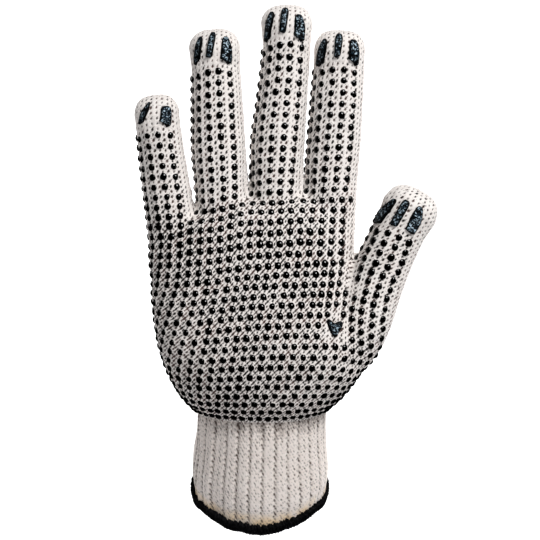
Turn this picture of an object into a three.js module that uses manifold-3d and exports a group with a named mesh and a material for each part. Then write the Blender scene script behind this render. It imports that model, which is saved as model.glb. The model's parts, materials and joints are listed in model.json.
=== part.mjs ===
// A seamless string-knit work glove for the right hand, in the open form that it has when worn.
// Palm towards -Y, fingers up along +Z, thumb towards +X, and the wrist is bent back, so that the cuff runs down
// and towards +Y.
// The knitted wall is hollow all the way: mouth, wrist, palm, four fingers and thumb are one open space.
// Units are millimetres. The origin is the middle of the cuff's mouth.
import * as THREE from 'three';
import { mergeVertices } from 'three/addons/utils/BufferGeometryUtils.js';
import Module from 'manifold-3d';

const wasm = await Module();
wasm.setup();

// Driving dimensions
const WALL = 1.8; // thickness of the string knit
const LID = 2; // the web between two fingers is so many walls thick
const GAP = 0.3; // between neighbouring solids
const THROUGH = 3; // how far a cutting body runs past what it cuts
const CUT_DEPTH = 160; // of a cutting prism, more than the glove is deep
const CUT_SPREAD = 30; // how far a finger's cutting region runs past its root line on each side
const CUT_REACH = 130; // and beyond its tip
const FINGER_SIDES = 18;
const PALM_SIDES = 34;
const FINGER_POWER = 2.15; // superellipse power of a section: 2 is an ellipse, more is squarer
const FINGER_FLATTEN = 0.88; // a finger's depth over its width
const DOME_STEPS = 4; // sections in a finger's rounded end
const RIBS = 29; // raised ribs round the cuff
const RIB_HEIGHT = 0.45; // half of the step from groove to crest
const RIB_POINTS = 4;
const LINING_SIDES = 48;
const CUFF_STEPS = 3;
const HEM_HEIGHT = 5.5;
const HEM_PROUD = 0.9; // how far the overlocked hem stands out of the knit, on both faces
const HEM_SIDES = 56;
const PAD_LIFT = 0.3; // clear of the knit, below a moulded grip pad
const PAD_THICK = 0.9;
const PAD_BACK = -4; // pads lie in front of this y, on the palm's side

const COLOURS = { yarn: 0xe4dcd4, rib: 0xdfd5cb, hem: 0x101010, grip: 0x0d1013 };

// Fingers: each row is a section square to the finger's axis, from inside the palm to the start of the round end.
// x and z are the section's middle in the front view, y its depth, halfWidth its half width.
const FINGERS = {
  little_finger: {
    domeLength: 9.6, domeWidth: 0.55, root: [[-51.5, 120.5], [-29.4, 124.7]],
    rows: [
      { x: -38.8, y: 0.5, z: 110, halfWidth: 11.3 },
      { x: -40.8, y: 0.0, z: 127, halfWidth: 11.1 },
      { x: -44.3, y: -2.5, z: 153, halfWidth: 10.5 },
      { x: -46.2, y: -6.0, z: 171, halfWidth: 10.2 },
    ],
  },
  ring_finger: {
    domeLength: 9.6, domeWidth: 0.55, root: [[-29.4, 124.7], [-4.6, 136.6]],
    rows: [
      { x: -16.2, y: 0.0, z: 114, halfWidth: 12.1 },
      { x: -16.9, y: -0.5, z: 136, halfWidth: 11.9 },
      { x: -18.3, y: -1.5, z: 157, halfWidth: 12.4 },
      { x: -19.3, y: -5.0, z: 188, halfWidth: 11.4 },
      { x: -20.0, y: -7.0, z: 200.5, halfWidth: 11.7 },
    ],
  },
  middle_finger: {
    domeLength: 9.6, domeWidth: 0.55, root: [[-4.6, 136.6], [20.2, 135.7]],
    rows: [
      { x: 7.4, y: 0.0, z: 116, halfWidth: 12.1 },
      { x: 7.8, y: -0.5, z: 138, halfWidth: 11.9 },
      { x: 8.8, y: -1.5, z: 161, halfWidth: 12.3 },
      { x: 10.6, y: -3.0, z: 178, halfWidth: 11.6 },
      { x: 12.4, y: -5.5, z: 199, halfWidth: 11.0 },
      { x: 12.6, y: -7.0, z: 211.5, halfWidth: 11.8 },
    ],
  },
  index_finger: {
    domeLength: 9.8, domeWidth: 0.55, root: [[20.2, 135.7], [44.6, 133.4]],
    rows: [
      { x: 32.0, y: 0.0, z: 116, halfWidth: 12.2 },
      { x: 33.1, y: -0.5, z: 140, halfWidth: 12.0 },
      { x: 34.6, y: -1.5, z: 161, halfWidth: 12.3 },
      { x: 36.3, y: -4.5, z: 189, halfWidth: 11.7 },
      { x: 36.7, y: -6.5, z: 200, halfWidth: 11.7 },
    ],
  },
  thumb: {
    domeLength: 11, domeWidth: 0.62, root: [[43.4, 105.6], [66.8, 94.8]],
    rows: [
      { x: 29.0, y: -2.0, z: 46, halfWidth: 6.0 },
      { x: 37.5, y: -3.5, z: 59, halfWidth: 10.0 },
      { x: 41.5, y: -4.5, z: 67, halfWidth: 13.0 },
      { x: 46.0, y: -5.0, z: 77, halfWidth: 14.0 },
      { x: 51.0, y: -5.5, z: 89, halfWidth: 13.1 },
      { x: 57.0, y: -6.5, z: 104.6, halfWidth: 12.6 },
      { x: 63.4, y: -8.0, z: 118.7, halfWidth: 12.2 },
      { x: 68.4, y: -9.0, z: 128.5, halfWidth: 13.2 },
    ],
  },
};

// The palm and the back of the hand: each row is a level section, front towards -Y. tilt leans it by so many
// degrees that its front is lower than its back, and arch bends it up by that share of the knuckles' line.
const PALM = [
  { z: 134.5, left: -44.5, right: 39.0, front: -6.0, back: 7.0, tilt: 0, arch: 1, power: 2.2 },
  { z: 130, left: -49.4, right: 42.4, front: -11.5, back: 12.0, tilt: 0, arch: 1, power: 2.4 },
  { z: 124, left: -50.4, right: 43.8, front: -15.0, back: 14.5, tilt: 0, arch: 0.9, power: 2.5 },
  { z: 114, left: -50.2, right: 43.8, front: -17.5, back: 16.0, tilt: 0, arch: 0.65, power: 2.5 },
  { z: 103, left: -49.3, right: 43.0, front: -19.5, back: 17.0, tilt: 0, arch: 0.4, power: 2.5 },
  { z: 91, left: -48.9, right: 43.4, front: -22.0, back: 18.0, tilt: 0, arch: 0.2, power: 2.5 },
  { z: 79, left: -47.9, right: 46.0, front: -24.2, back: 18.5, tilt: 0, arch: 0, power: 2.5 },
  { z: 67, left: -45.9, right: 49.5, front: -25.2, back: 19.5, tilt: 2, arch: 0, power: 2.5 },
  { z: 58, left: -43.2, right: 48.5, front: -24.0, back: 21.5, tilt: 4, arch: 0, power: 2.45 },
  { z: 50, left: -39.9, right: 43.8, front: -21.0, back: 24.5, tilt: 7, arch: 0, power: 2.35 },
  { z: 43, left: -35.8, right: 38.4, front: -16.5, back: 29.0, tilt: 10, arch: 0, power: 2.2 },
  { z: 38, left: -31.4, right: 33.0, front: -11.0, back: 33.5, tilt: 12, arch: 0, power: 2.1 },
];
const KNUCKLES = { slope: 0.15, bow: 0.0037 }; // their line is higher by slope * x - bow * x * x

// The cuff runs from the wrist to the mouth, which leans more than the wrist does.
const CUFF = {
  wrist: { x: 1.2, y: 11.4, z: 37.3, halfWidth: 30.4, halfDepth: 22.4, tilt: 12 },
  mouth: { x: 0.1, y: 30, z: -3.6, halfWidth: 32.4, halfDepth: 26.4, tilt: 45 },
};

// Grip stripes on a finger's pad, as seen from the palm's side. top and foot are the middles of a stripe's two
// ends: the distance across the finger from its axis, and the distance below its tip. widths are those at the top,
// at the belly and at the foot. slant is how much lower the foot's corner towards the thumb is than the other one.
const STRIPES = {
  little_finger: {
    outer: { top: [-2.0, 3.8], foot: [-7.0, 13.0], widths: [0.8, 3.4, 2.6], slant: -0.4 },
    inner: { top: [4.6, 6.2], foot: [3.4, 14.6], widths: [3.6, 5.0, 5.2], slant: 2.6 },
  },
  ring_finger: {
    outer: { top: [-5.4, 4.2], foot: [-7.9, 15.6], widths: [1.6, 3.0, 3.0], slant: -2.0 },
    centre: { top: [0.1, 2.6], foot: [-2.6, 14.0], widths: [2.4, 3.2, 3.0], slant: 0.2 },
    inner: { top: [5.2, 4.8], foot: [4.8, 16.2], widths: [2.0, 4.8, 5.3], slant: 2.1 },
  },
  middle_finger: {
    outer: { top: [-6.4, 4.4], foot: [-8.6, 16.9], widths: [2.0, 3.0, 2.6], slant: -1.6 },
    centre: { top: [-0.7, 2.9], foot: [-2.0, 14.0], widths: [3.2, 3.4, 3.0], slant: 0.3 },
    inner: { top: [5.0, 5.6], foot: [5.4, 16.6], widths: [2.6, 4.8, 4.8], slant: 2.2 },
  },
  index_finger: {
    outer: { top: [-6.8, 5.2], foot: [-8.8, 17.0], widths: [1.6, 3.6, 3.3], slant: -1.0 },
    centre: { top: [-0.8, 2.9], foot: [-1.5, 13.7], widths: [3.0, 3.4, 2.8], slant: -0.7 },
    inner: { top: [5.2, 5.2], foot: [5.8, 15.8], widths: [2.6, 4.6, 4.6], slant: 2.6 },
  },
  thumb: {
    outer: { top: [-8.4, 10.6], foot: [-11.0, 23.8], widths: [1.6, 3.8, 3.4], slant: -0.6 },
    centre: { top: [-3.7, 8.8], foot: [-4.1, 21.8], widths: [3.2, 3.8, 3.7], slant: -0.3 },
    inner: { top: [2.6, 8.6], foot: [3.6, 21.2], widths: [2.4, 5.6, 4.8], slant: 0.4 },
  },
};
const BELLY = 0.55; // where the belly is, as a share of a stripe's length from its top
const HEART = { x: 33.8, z: 74.6, width: 7.4, height: 8.0 };

const radians = THREE.MathUtils.degToRad;
const TOWARDS_PALM = new THREE.Vector3(0, -1, 0);

// A closed mesh as a manifold solid. A mesh that was wound inside out is turned round.
function solidOf(geometry) {
  const bare = new THREE.BufferGeometry().setAttribute('position', geometry.getAttribute('position'));
  if (geometry.index) bare.setIndex(geometry.index);
  const merged = mergeVertices(bare, 1e-4);
  const triVerts = new Uint32Array(merged.index.array);
  const vertProperties = new Float32Array(merged.attributes.position.array);
  const made = new wasm.Manifold(new wasm.Mesh({ numProp: 3, vertProperties, triVerts }));
  if (made.volume() >= 0) return made;
  for (let i = 0; i < triVerts.length; i += 3) {
    [triVerts[i + 1], triVerts[i + 2]] = [triVerts[i + 2], triVerts[i + 1]];
  }
  return new wasm.Manifold(new wasm.Mesh({ numProp: 3, vertProperties, triVerts }));
}

// A manifold solid as flat-shaded three.js geometry.
function geometryOf(solid) {
  const mesh = solid.getMesh();
  const positions = new Float32Array(mesh.numVert * 3);
  for (let i = 0; i < mesh.numVert; i += 1) {
    for (let k = 0; k < 3; k += 1) positions[3 * i + k] = mesh.vertProperties[mesh.numProp * i + k];
  }
  const geometry = new THREE.BufferGeometry();
  geometry.setAttribute('position', new THREE.BufferAttribute(positions, 3));
  geometry.setIndex(new THREE.BufferAttribute(new Uint32Array(mesh.triVerts), 1));
  geometry.computeVertexNormals();
  return geometry;
}

// Joins rings of equally many points into one closed body, with a fan round its middle at each end.
function loft(rings) {
  const sides = rings[0].length;
  const points = rings.flat();
  const faces = [];
  for (let r = 0; r + 1 < rings.length; r += 1) {
    for (let s = 0; s < sides; s += 1) {
      const a = r * sides + s;
      const b = r * sides + ((s + 1) % sides);
      faces.push(a, b, b + sides, a, b + sides, a + sides);
    }
  }
  for (const end of [0, rings.length - 1]) {
    const middle = rings[end].reduce((sum, p) => sum.add(p), new THREE.Vector3()).divideScalar(sides);
    const hub = points.push(middle) - 1;
    for (let s = 0; s < sides; s += 1) {
      const a = end * sides + s;
      const b = end * sides + ((s + 1) % sides);
      faces.push(...(end === 0 ? [hub, b, a] : [hub, a, b]));
    }
  }
  const geometry = new THREE.BufferGeometry().setFromPoints(points);
  geometry.setIndex(faces);
  return solidOf(geometry);
}

// One superellipse ring. across and deep are unit vectors in the section's plane.
function ring(centre, across, deep, halfWidth, halfDepth, power, sides) {
  const bend = (v) => Math.sign(v) * Math.abs(v) ** (2 / power);
  return Array.from({ length: sides }, (_, s) => {
    const angle = (2 * Math.PI * (s + 0.5)) / sides;
    return centre.clone()
      .addScaledVector(across, halfWidth * bend(Math.cos(angle)))
      .addScaledVector(deep, halfDepth * bend(Math.sin(angle)));
  });
}

// The axis of a finger near a row: its direction, and the two directions in the section's plane.
function fingerFrame(rows, i) {
  const at = (k) => new THREE.Vector3(rows[k].x, rows[k].y, rows[k].z);
  const along = at(Math.min(i + 1, rows.length - 1)).sub(at(Math.max(i - 1, 0))).normalize();
  const across = new THREE.Vector3().crossVectors(TOWARDS_PALM, along).normalize().negate();
  const deep = new THREE.Vector3().crossVectors(across, along).normalize();
  return { along, across, deep };
}

// A finger's body, grown by grow millimetres all round: 0 is the outer face, -WALL the inner one.
function fingerBody({ rows, domeLength, domeWidth }, grow) {
  const rings = rows.map((row, i) => {
    const { across, deep } = fingerFrame(rows, i);
    const centre = new THREE.Vector3(row.x, row.y, row.z);
    const halfDepth = row.halfWidth * FINGER_FLATTEN;
    return ring(centre, across, deep, row.halfWidth + grow, halfDepth + grow, FINGER_POWER, FINGER_SIDES);
  });
  const last = rows.at(-1);
  const { along, across, deep } = fingerFrame(rows, rows.length - 1);
  for (let step = 1; step <= DOME_STEPS; step += 1) {
    const angle = (Math.PI / 2) * (step / (DOME_STEPS + 0.25));
    const rise = (domeLength + grow) * Math.sin(angle);
    const closing = Math.cos(angle);
    const widthLeft = domeWidth * closing + (1 - domeWidth) * Math.sqrt(closing);
    const centre = new THREE.Vector3(last.x, last.y, last.z).addScaledVector(along, rise);
    const halfWidth = (last.halfWidth + grow) * widthLeft;
    const halfDepth = (last.halfWidth * FINGER_FLATTEN + grow) * closing;
    rings.push(ring(centre, across, deep, halfWidth, halfDepth, FINGER_POWER, FINGER_SIDES));
  }
  return loft(rings);
}

// A ring of the palm or the cuff, leaning so that its front is lower than its back.
function leaningRing(centre, halfWidth, halfDepth, tilt, power, sides) {
  const across = new THREE.Vector3(1, 0, 0);
  const deep = new THREE.Vector3(0, Math.cos(radians(tilt)), Math.sin(radians(tilt)));
  return ring(centre, across, deep, halfWidth, halfDepth, power, sides);
}

// The palm's body, grown by grow. Past its wrist end it runs on by extra millimetres, to cut through.
function palmBody(grow, extra) {
  const ringAt = (row, drop) => {
    const middle = [(row.left + row.right) / 2, (row.front + row.back) / 2, row.z - drop];
    const centre = new THREE.Vector3(...middle);
    const halfWidth = (row.right - row.left) / 2 + grow;
    const halfDepth = (row.back - row.front) / 2 / Math.cos(radians(row.tilt)) + grow;
    const points = leaningRing(centre, halfWidth, halfDepth, row.tilt, row.power, PALM_SIDES);
    const { slope, bow } = KNUCKLES;
    for (const point of points) point.z += row.arch * (slope * point.x - bow * point.x ** 2);
    return points;
  };
  const rings = PALM.map((row, i) => ringAt(row, i === 0 ? -LID * grow : 0));
  if (extra) rings.push(ringAt(PALM.at(-1), extra));
  return loft(rings);
}

// The cuff's section at a share of the way from wrist to mouth.
function cuffSection(share) {
  const { wrist, mouth } = CUFF;
  const mix = (key) => wrist[key] + (mouth[key] - wrist[key]) * share;
  const centre = new THREE.Vector3(mix('x'), mix('y'), mix('z'));
  return { centre, halfWidth: mix('halfWidth'), halfDepth: mix('halfDepth'), tilt: mix('tilt') };
}

// The cuff's outer body, with ribs running along it.
function ribbedBody(first, last) {
  const sides = RIBS * RIB_POINTS;
  return loft(Array.from({ length: CUFF_STEPS + 1 }, (_, step) => {
    const { centre, halfWidth, halfDepth, tilt } = cuffSection(first + (last - first) * (step / CUFF_STEPS));
    const points = leaningRing(centre, halfWidth, halfDepth, tilt, 2, sides);
    return points.map((point, s) => {
      const wave = Math.cos((2 * Math.PI * (s + 0.5)) / RIB_POINTS) * RIB_HEIGHT - RIB_HEIGHT;
      const outward = point.clone().sub(centre).normalize();
      return point.clone().addScaledVector(outward, wave);
    });
  }));
}

// A plain tube body inside the cuff.
function plainCuffBody(grow, first, last, sides, steps) {
  return loft(Array.from({ length: steps + 1 }, (_, step) => {
    const { centre, halfWidth, halfDepth, tilt } = cuffSection(first + (last - first) * (step / steps));
    return leaningRing(centre, halfWidth + grow, halfDepth + grow, tilt, 2, sides);
  }));
}

// A region of the front view, as a prism right through the glove along Y.
function prism(corners) {
  const shape = new THREE.Shape(corners.map(([x, z]) => new THREE.Vector2(x, z)));
  const depth = CUT_DEPTH;
  const geometry = new THREE.ExtrudeGeometry(shape, { depth, bevelEnabled: false });
  geometry.rotateX(Math.PI / 2);
  geometry.translate(0, depth / 2, 0);
  return solidOf(geometry);
}

// The half plane on the finger's side of its root line, as a large quadrilateral.
function fingerRegion([[x0, z0], [x1, z1]]) {
  const line = new THREE.Vector2(x1 - x0, z1 - z0).normalize();
  const up = new THREE.Vector2(-line.y, line.x);
  const corner = (x, z, sideways, rise) => [
    x + line.x * sideways + up.x * rise, z + line.y * sideways + up.y * rise,
  ];
  return [
    corner(x0, z0, -CUT_SPREAD, GAP / 2), corner(x1, z1, CUT_SPREAD, GAP / 2),
    corner(x1, z1, CUT_SPREAD, CUT_REACH), corner(x0, z0, -CUT_SPREAD, CUT_REACH),
  ];
}

// The palm's own region of the front view: along the finger roots and round the crotch of the thumb.
const { little_finger: little, middle_finger: middle, index_finger: index, thumb } = FINGERS;
const PALM_REGION = [
  [-80, -20], [-80, 115.1], ...little.root, ...middle.root, index.root[1], [50, 132.9], [47.6, 118],
  ...thumb.root, [95, 81.8], [95, -20],
];

const outerFinger = {};
const innerFinger = {};
for (const [name, finger] of Object.entries(FINGERS)) {
  outerFinger[name] = fingerBody(finger, 0);
  innerFinger[name] = fingerBody(finger, -WALL);
}

// The palm's wall ends at the finger roots: everything above each root line is cut away from it.
function palmWall() {
  let outer = palmBody(0, 0);
  let inner = palmBody(-WALL, THROUGH);
  for (const name of Object.keys(FINGERS)) {
    outer = outer.add(outerFinger[name]);
    inner = inner.add(innerFinger[name]);
  }
  return outer.subtract(inner).intersect(prism(PALM_REGION.map(([x, z]) => [x, z - GAP / 2])));
}

// The tables are measured from a point in the palm's plane. The group moves the mouth's middle to the origin.
const hand = new THREE.Group();
hand.position.set(-CUFF.mouth.x, -CUFF.mouth.y, -CUFF.mouth.z);

function addPiece(name, solid, material) {
  const mesh = new THREE.Mesh(geometryOf(solid), material);
  mesh.name = name;
  hand.add(mesh);
}

const yarn = new THREE.MeshStandardMaterial({ color: COLOURS.yarn, roughness: 0.95, metalness: 0 });
const ribYarn = new THREE.MeshStandardMaterial({ color: COLOURS.rib, roughness: 0.95, metalness: 0 });
const hemThread = new THREE.MeshStandardMaterial({ color: COLOURS.hem, roughness: 0.85, metalness: 0 });
const grip = new THREE.MeshStandardMaterial({ color: COLOURS.grip, roughness: 0.35, metalness: 0 });

addPiece('palm_and_back', palmWall(), yarn);
for (const [name, finger] of Object.entries(FINGERS)) {
  const wall = outerFinger[name].subtract(innerFinger[name]);
  addPiece(name, wall.intersect(prism(fingerRegion(finger.root))), yarn);
}

// The cuff starts just below the palm's lower edge and ends at the hem.
const cuffLength = Math.hypot(CUFF.wrist.y - CUFF.mouth.y, CUFF.wrist.z - CUFF.mouth.z);
const cuffStart = 0;
const cuffEnd = 1 - (HEM_HEIGHT + GAP) / cuffLength;
const past = THROUGH / cuffLength;
const cuffWall = ribbedBody(cuffStart, cuffEnd)
  .subtract(plainCuffBody(-WALL - RIB_HEIGHT, cuffStart - past, cuffEnd + past, LINING_SIDES, CUFF_STEPS));
addPiece('rib_cuff', cuffWall, ribYarn);

const hemStart = 1 - HEM_HEIGHT / cuffLength;
const hem = plainCuffBody(HEM_PROUD - RIB_HEIGHT, hemStart, 1, HEM_SIDES, 1)
  .subtract(plainCuffBody(-WALL - HEM_PROUD, hemStart - past, 1 + past, HEM_SIDES, 1));
addPiece('overlock_hem', hem, hemThread);

// A moulded grip pad: a plate that follows the knit's palm face, with the outline that the prism cuts.
const frontBox = new THREE.BoxGeometry(CUT_DEPTH * 2, CUT_DEPTH, CUT_DEPTH * 3);
frontBox.translate(0, PAD_BACK - CUT_DEPTH / 2, 0);
const inFront = solidOf(frontBox);
function gripPad(grown, bare, outline) {
  return grown.subtract(bare).intersect(prism(outline)).intersect(inFront);
}

for (const [name, stripes] of Object.entries(STRIPES)) {
  const finger = FINGERS[name];
  const grown = fingerBody(finger, PAD_LIFT + PAD_THICK);
  const bare = fingerBody(finger, PAD_LIFT);
  const last = finger.rows.at(-1);
  const { along, across } = fingerFrame(finger.rows, finger.rows.length - 1);
  const tip = new THREE.Vector3(last.x, last.y, last.z).addScaledVector(along, finger.domeLength);
  for (const [place, { top, foot, widths, slant }] of Object.entries(stripes)) {
    const corner = (share, width, lower) => {
      const sideways = top[0] + (foot[0] - top[0]) * share + width / 2;
      const below = top[1] + (foot[1] - top[1]) * share + lower / 2;
      const point = tip.clone().addScaledVector(across, sideways).addScaledVector(along, -below);
      return [point.x, point.z];
    };
    const outline = [
      corner(1, -widths[2], -slant), corner(1, widths[2], slant), corner(BELLY, widths[1], 0),
      corner(0, widths[0], 0), corner(0, -widths[0], 0), corner(BELLY, -widths[1], 0),
    ];
    addPiece(`${name}_stripe_${place}`, gripPad(grown, bare, outline), grip);
  }
}

// The heart-shaped pad in the crotch of the thumb: two half circles over a point.
function heartOutline({ x, z, width, height }) {
  const lobe = width / 4;
  const shoulder = z + height / 2 - lobe;
  const heart = new THREE.Shape();
  heart.moveTo(x, z - height / 2);
  heart.lineTo(x + width / 2, shoulder);
  heart.absarc(x + lobe, shoulder, lobe, 0, Math.PI, false);
  heart.absarc(x - lobe, shoulder, lobe, 0, Math.PI, false);
  heart.lineTo(x, z - height / 2);
  return heart.getPoints(5).slice(0, -1).map((point) => [point.x, point.y]);
}
const palmGrown = palmBody(PAD_LIFT + PAD_THICK, 0).add(fingerBody(FINGERS.thumb, PAD_LIFT + PAD_THICK));
const palmBare = palmBody(PAD_LIFT, 0).add(fingerBody(FINGERS.thumb, PAD_LIFT));
addPiece('heart_pad', gripPad(palmGrown, palmBare, heartOutline(HEART)), grip);

const glove = new THREE.Group();
glove.add(hand);
export default glove;
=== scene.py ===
"""Looks of a knit work glove with a dotted grip palm.

The glove's skin is laid out as a net of stitches: every cell of the net is one stitch, its columns are the wales of
the knit and its rows the courses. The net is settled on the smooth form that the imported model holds, and then each
stitch is pressed into it. Tables are in millimetres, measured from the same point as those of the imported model.
"""

import json
import logging
import math
from dataclasses import dataclass
from enum import Enum

import bpy
import numpy as np
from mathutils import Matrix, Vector
from mathutils.bvhtree import BVHTree

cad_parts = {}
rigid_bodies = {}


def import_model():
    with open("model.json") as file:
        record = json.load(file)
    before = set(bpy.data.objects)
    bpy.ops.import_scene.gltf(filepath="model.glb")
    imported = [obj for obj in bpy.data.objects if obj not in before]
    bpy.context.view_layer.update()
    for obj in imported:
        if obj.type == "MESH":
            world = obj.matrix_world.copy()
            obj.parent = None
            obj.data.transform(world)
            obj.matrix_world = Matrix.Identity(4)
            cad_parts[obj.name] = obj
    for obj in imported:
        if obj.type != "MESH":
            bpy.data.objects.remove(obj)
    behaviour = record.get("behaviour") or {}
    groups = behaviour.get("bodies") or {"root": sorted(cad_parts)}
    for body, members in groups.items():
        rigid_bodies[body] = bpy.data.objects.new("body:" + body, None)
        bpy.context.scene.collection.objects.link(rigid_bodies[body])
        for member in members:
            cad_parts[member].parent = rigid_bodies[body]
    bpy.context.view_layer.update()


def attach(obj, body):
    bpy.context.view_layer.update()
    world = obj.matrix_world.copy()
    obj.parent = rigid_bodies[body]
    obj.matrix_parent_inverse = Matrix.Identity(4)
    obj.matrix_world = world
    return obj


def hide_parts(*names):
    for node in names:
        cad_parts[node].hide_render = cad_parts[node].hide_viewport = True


LOG = logging.getLogger("glove")
MOUTH = np.array([0.1, 30.0, -3.6])
MILLIMETRE = 0.001
SEED = 11
BOTH_SIDES = (-1, 1)  # the palm side and the back, as signs of y
Pair = tuple[float, float]
Triple = tuple[float, float, float]


# Numbers and arrays

def metres(points: np.ndarray) -> np.ndarray:
    """Points of the tables in the part's frame, in metres."""
    return (np.asarray(points, float) - MOUTH) * MILLIMETRE


def unit(vectors: np.ndarray) -> np.ndarray:
    """Vectors scaled to length one.

    Args:
        vectors: an array whose last axis holds the coordinates.
    Returns:
        The same directions, each of length one.
    """
    length = np.linalg.norm(vectors, axis=-1, keepdims=True)
    return vectors / np.maximum(length, 1e-12)


def smooth_step(low: float, high: float, value: np.ndarray) -> np.ndarray:
    """A soft step from 0 at low to 1 at high."""
    share = np.clip((value - low) / (high - low), 0.0, 1.0)
    return share * share * (3.0 - 2.0 * share)


def spline(knots: np.ndarray, per_span: int) -> np.ndarray:
    """Rows between the rows of a table, on a curve through all of them.

    Args:
        knots: one row of numbers for each knot.
        per_span: how many rows each span between two knots gets.
    Returns:
        The finer table, which starts and ends with the same rows.
    """
    padded = np.vstack([2 * knots[0] - knots[1], knots, 2 * knots[-1] - knots[-2]])
    rows = []
    for k in range(1, len(padded) - 2):
        before, start, end, after = padded[k - 1:k + 3]
        for step in range(per_span):
            t = step / per_span
            rows.append(0.5 * (2 * start + (end - before) * t + (2 * before - 5 * start + 4 * end - after) * t ** 2
                               + (3 * start - before - 3 * end + after) * t ** 3))
    rows.append(knots[-1])
    return np.array(rows)


def soft_noise(points: np.ndarray, size: float, seed: int) -> np.ndarray:
    """Smooth noise between -1 and 1 that changes over about size millimetres.

    Args:
        points: where to read it, in millimetres.
        size: the distance between two of its random values.
        seed: picks another field of noise.
    Returns:
        One value for each point.
    """
    values = np.random.default_rng(seed).uniform(-1.0, 1.0, 4096)
    place = points / size + 500.0
    cell = np.floor(place).astype(int)
    t = place - cell
    t = t * t * (3.0 - 2.0 * t)
    total = np.zeros(len(points))
    for corner in range(8):
        step = np.array([corner & 1, corner >> 1 & 1, corner >> 2 & 1])
        index = ((cell + step) * np.array([73, 157, 311])).sum(axis=1) % len(values)
        total += values[index] * np.prod(np.where(step, t, 1.0 - t), axis=1)
    return total


def wrapped(value: np.ndarray) -> np.ndarray:
    """The signed distance to the nearest whole number."""
    return value - np.round(value)


def signed_power(value: np.ndarray, exponent: float) -> np.ndarray:
    """A power of the value's size, with the value's own sign."""
    return np.sign(value) * np.abs(value) ** exponent


def grid_quads(number: np.ndarray, flip: bool = False) -> np.ndarray:
    """The four-sided faces of a grid of points.

    Args:
        number: the points' numbers. A closed grid repeats its first column, or its first row, at the end.
        flip: whether the faces look the other way.
    Returns:
        The corners' numbers, one row for each face.
    """
    here, beside, across, above = number[:-1, :-1], number[:-1, 1:], number[1:, 1:], number[1:, :-1]
    corners = [here, above, across, beside] if flip else [here, beside, across, above]
    return np.stack(corners, axis=-1).reshape(-1, 4)


def add_object(name: str, data: bpy.types.ID) -> bpy.types.Object:
    """Puts a new object with this mesh, lamp or camera in the scene."""
    made = bpy.data.objects.new(name, data)
    bpy.context.scene.collection.objects.link(made)
    return made


# Forms that the knit is drawn over

@dataclass(frozen=True)
class FingerForm:
    """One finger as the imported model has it, with the counts of its stitches and drops.

    Its rows are x, y, z and half width. lean tilts its last course, and growth and swell make its tip longer and wider.
    """
    name: str
    rows: tuple[tuple[float, float, float, float], ...]
    dome_length: float
    wales: int
    courses: int
    dot_columns: tuple[float, ...]
    last_dot: int
    lean: float
    growth: float = 0.45
    swell: float = 1.02


LITTLE = FingerForm("little_finger", ((-38.8, 0.5, 110, 11.3), (-40.8, 0, 127, 11.1), (-44.3, -2.5, 153, 10.5),
                                      (-46.2, -6, 171, 10.2)),
                    9.6, 8, 24, (-1.9, -0.1, 2.0, 4.0, 6.1), 18, -0.45)
RING = FingerForm("ring_finger", ((-16.2, 0, 114, 12.1), (-16.9, -0.5, 136, 11.9), (-18.3, -1.5, 157, 12.4),
                                  (-19.3, -5, 188, 11.4), (-20, -7, 200.5, 11.7)),
                  9.6, 11, 33, (-2.0, -0.2, 1.8, 3.9, 6.1, 8.5), 26, -0.24)
MIDDLE = FingerForm("middle_finger", ((7.4, 0, 116, 12.1), (7.8, -0.5, 138, 11.9), (8.8, -1.5, 161, 12.3),
                                      (10.6, -3, 178, 11.6), (12.4, -5.5, 199, 11), (12.6, -7, 211.5, 11.8)),
                    9.6, 11, 34, (-2.0, 0.0, 2.0, 4.2, 6.4, 8.8), 27, -0.19)
INDEX = FingerForm("index_finger", ((32, 0, 116, 12.2), (33.1, -0.5, 140, 12), (34.6, -1.5, 161, 12.3),
                                    (36.3, -4.5, 189, 11.7), (36.7, -6.5, 200, 11.7)),
                   9.8, 11, 30, (-2.0, -0.1, 1.9, 4.1, 6.3, 8.6), 24, -0.12)
THUMB = FingerForm("thumb", ((29, -2, 46, 6), (37.5, -3.5, 59, 10), (41.5, -4.5, 67, 13), (46, -5, 77, 14),
                             (51, -5.5, 89, 13.1), (57, -6.5, 104.6, 12.6), (63.4, -8, 118.7, 12.2),
                             (68.4, -9, 128.5, 13.2)),
                   11, 11, 17, (-0.1, 2.05, 4.25, 6.45, 8.7), 7, -0.08, -0.9, 0.97)
FOUR_FINGERS = (LITTLE, RING, MIDDLE, INDEX)
FINGER_FLATTEN = 0.88
FINGER_POWER = 2.15
BAND = 4  # wales at each side of a finger, between its palm face and its back

# z, left, right, front, back, tilt, arch, power
PALM_ROWS = np.array([
    (38, -31.4, 33, -11, 33.5, 12, 0, 2.1), (43, -35.8, 38.4, -16.5, 29, 10, 0, 2.2),
    (50, -39.9, 43.8, -21, 24.5, 7, 0, 2.35), (58, -43.2, 48.5, -24, 21.5, 4, 0, 2.45),
    (67, -45.9, 49.5, -25.2, 19.5, 2, 0, 2.5), (79, -47.9, 46, -24.2, 18.5, 0, 0, 2.5),
    (91, -48.9, 43.4, -22, 18, 0, 0.2, 2.5), (103, -49.3, 43, -19.5, 17, 0, 0.4, 2.5),
    (114, -50.2, 43.8, -17.5, 16, 0, 0.65, 2.5), (124, -50.4, 43.8, -15, 14.5, 0, 0.9, 2.5),
    (130, -49.4, 42.4, -11.5, 12, 0, 1, 2.4), (134.5, -44.5, 39, -6, 7, 0, 1, 2.2)], float)
KNUCKLE_SLOPE = 0.15
KNUCKLE_BOW = 0.0037
RING_STEPS = 360  # points of a ring before it is evened out


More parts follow.
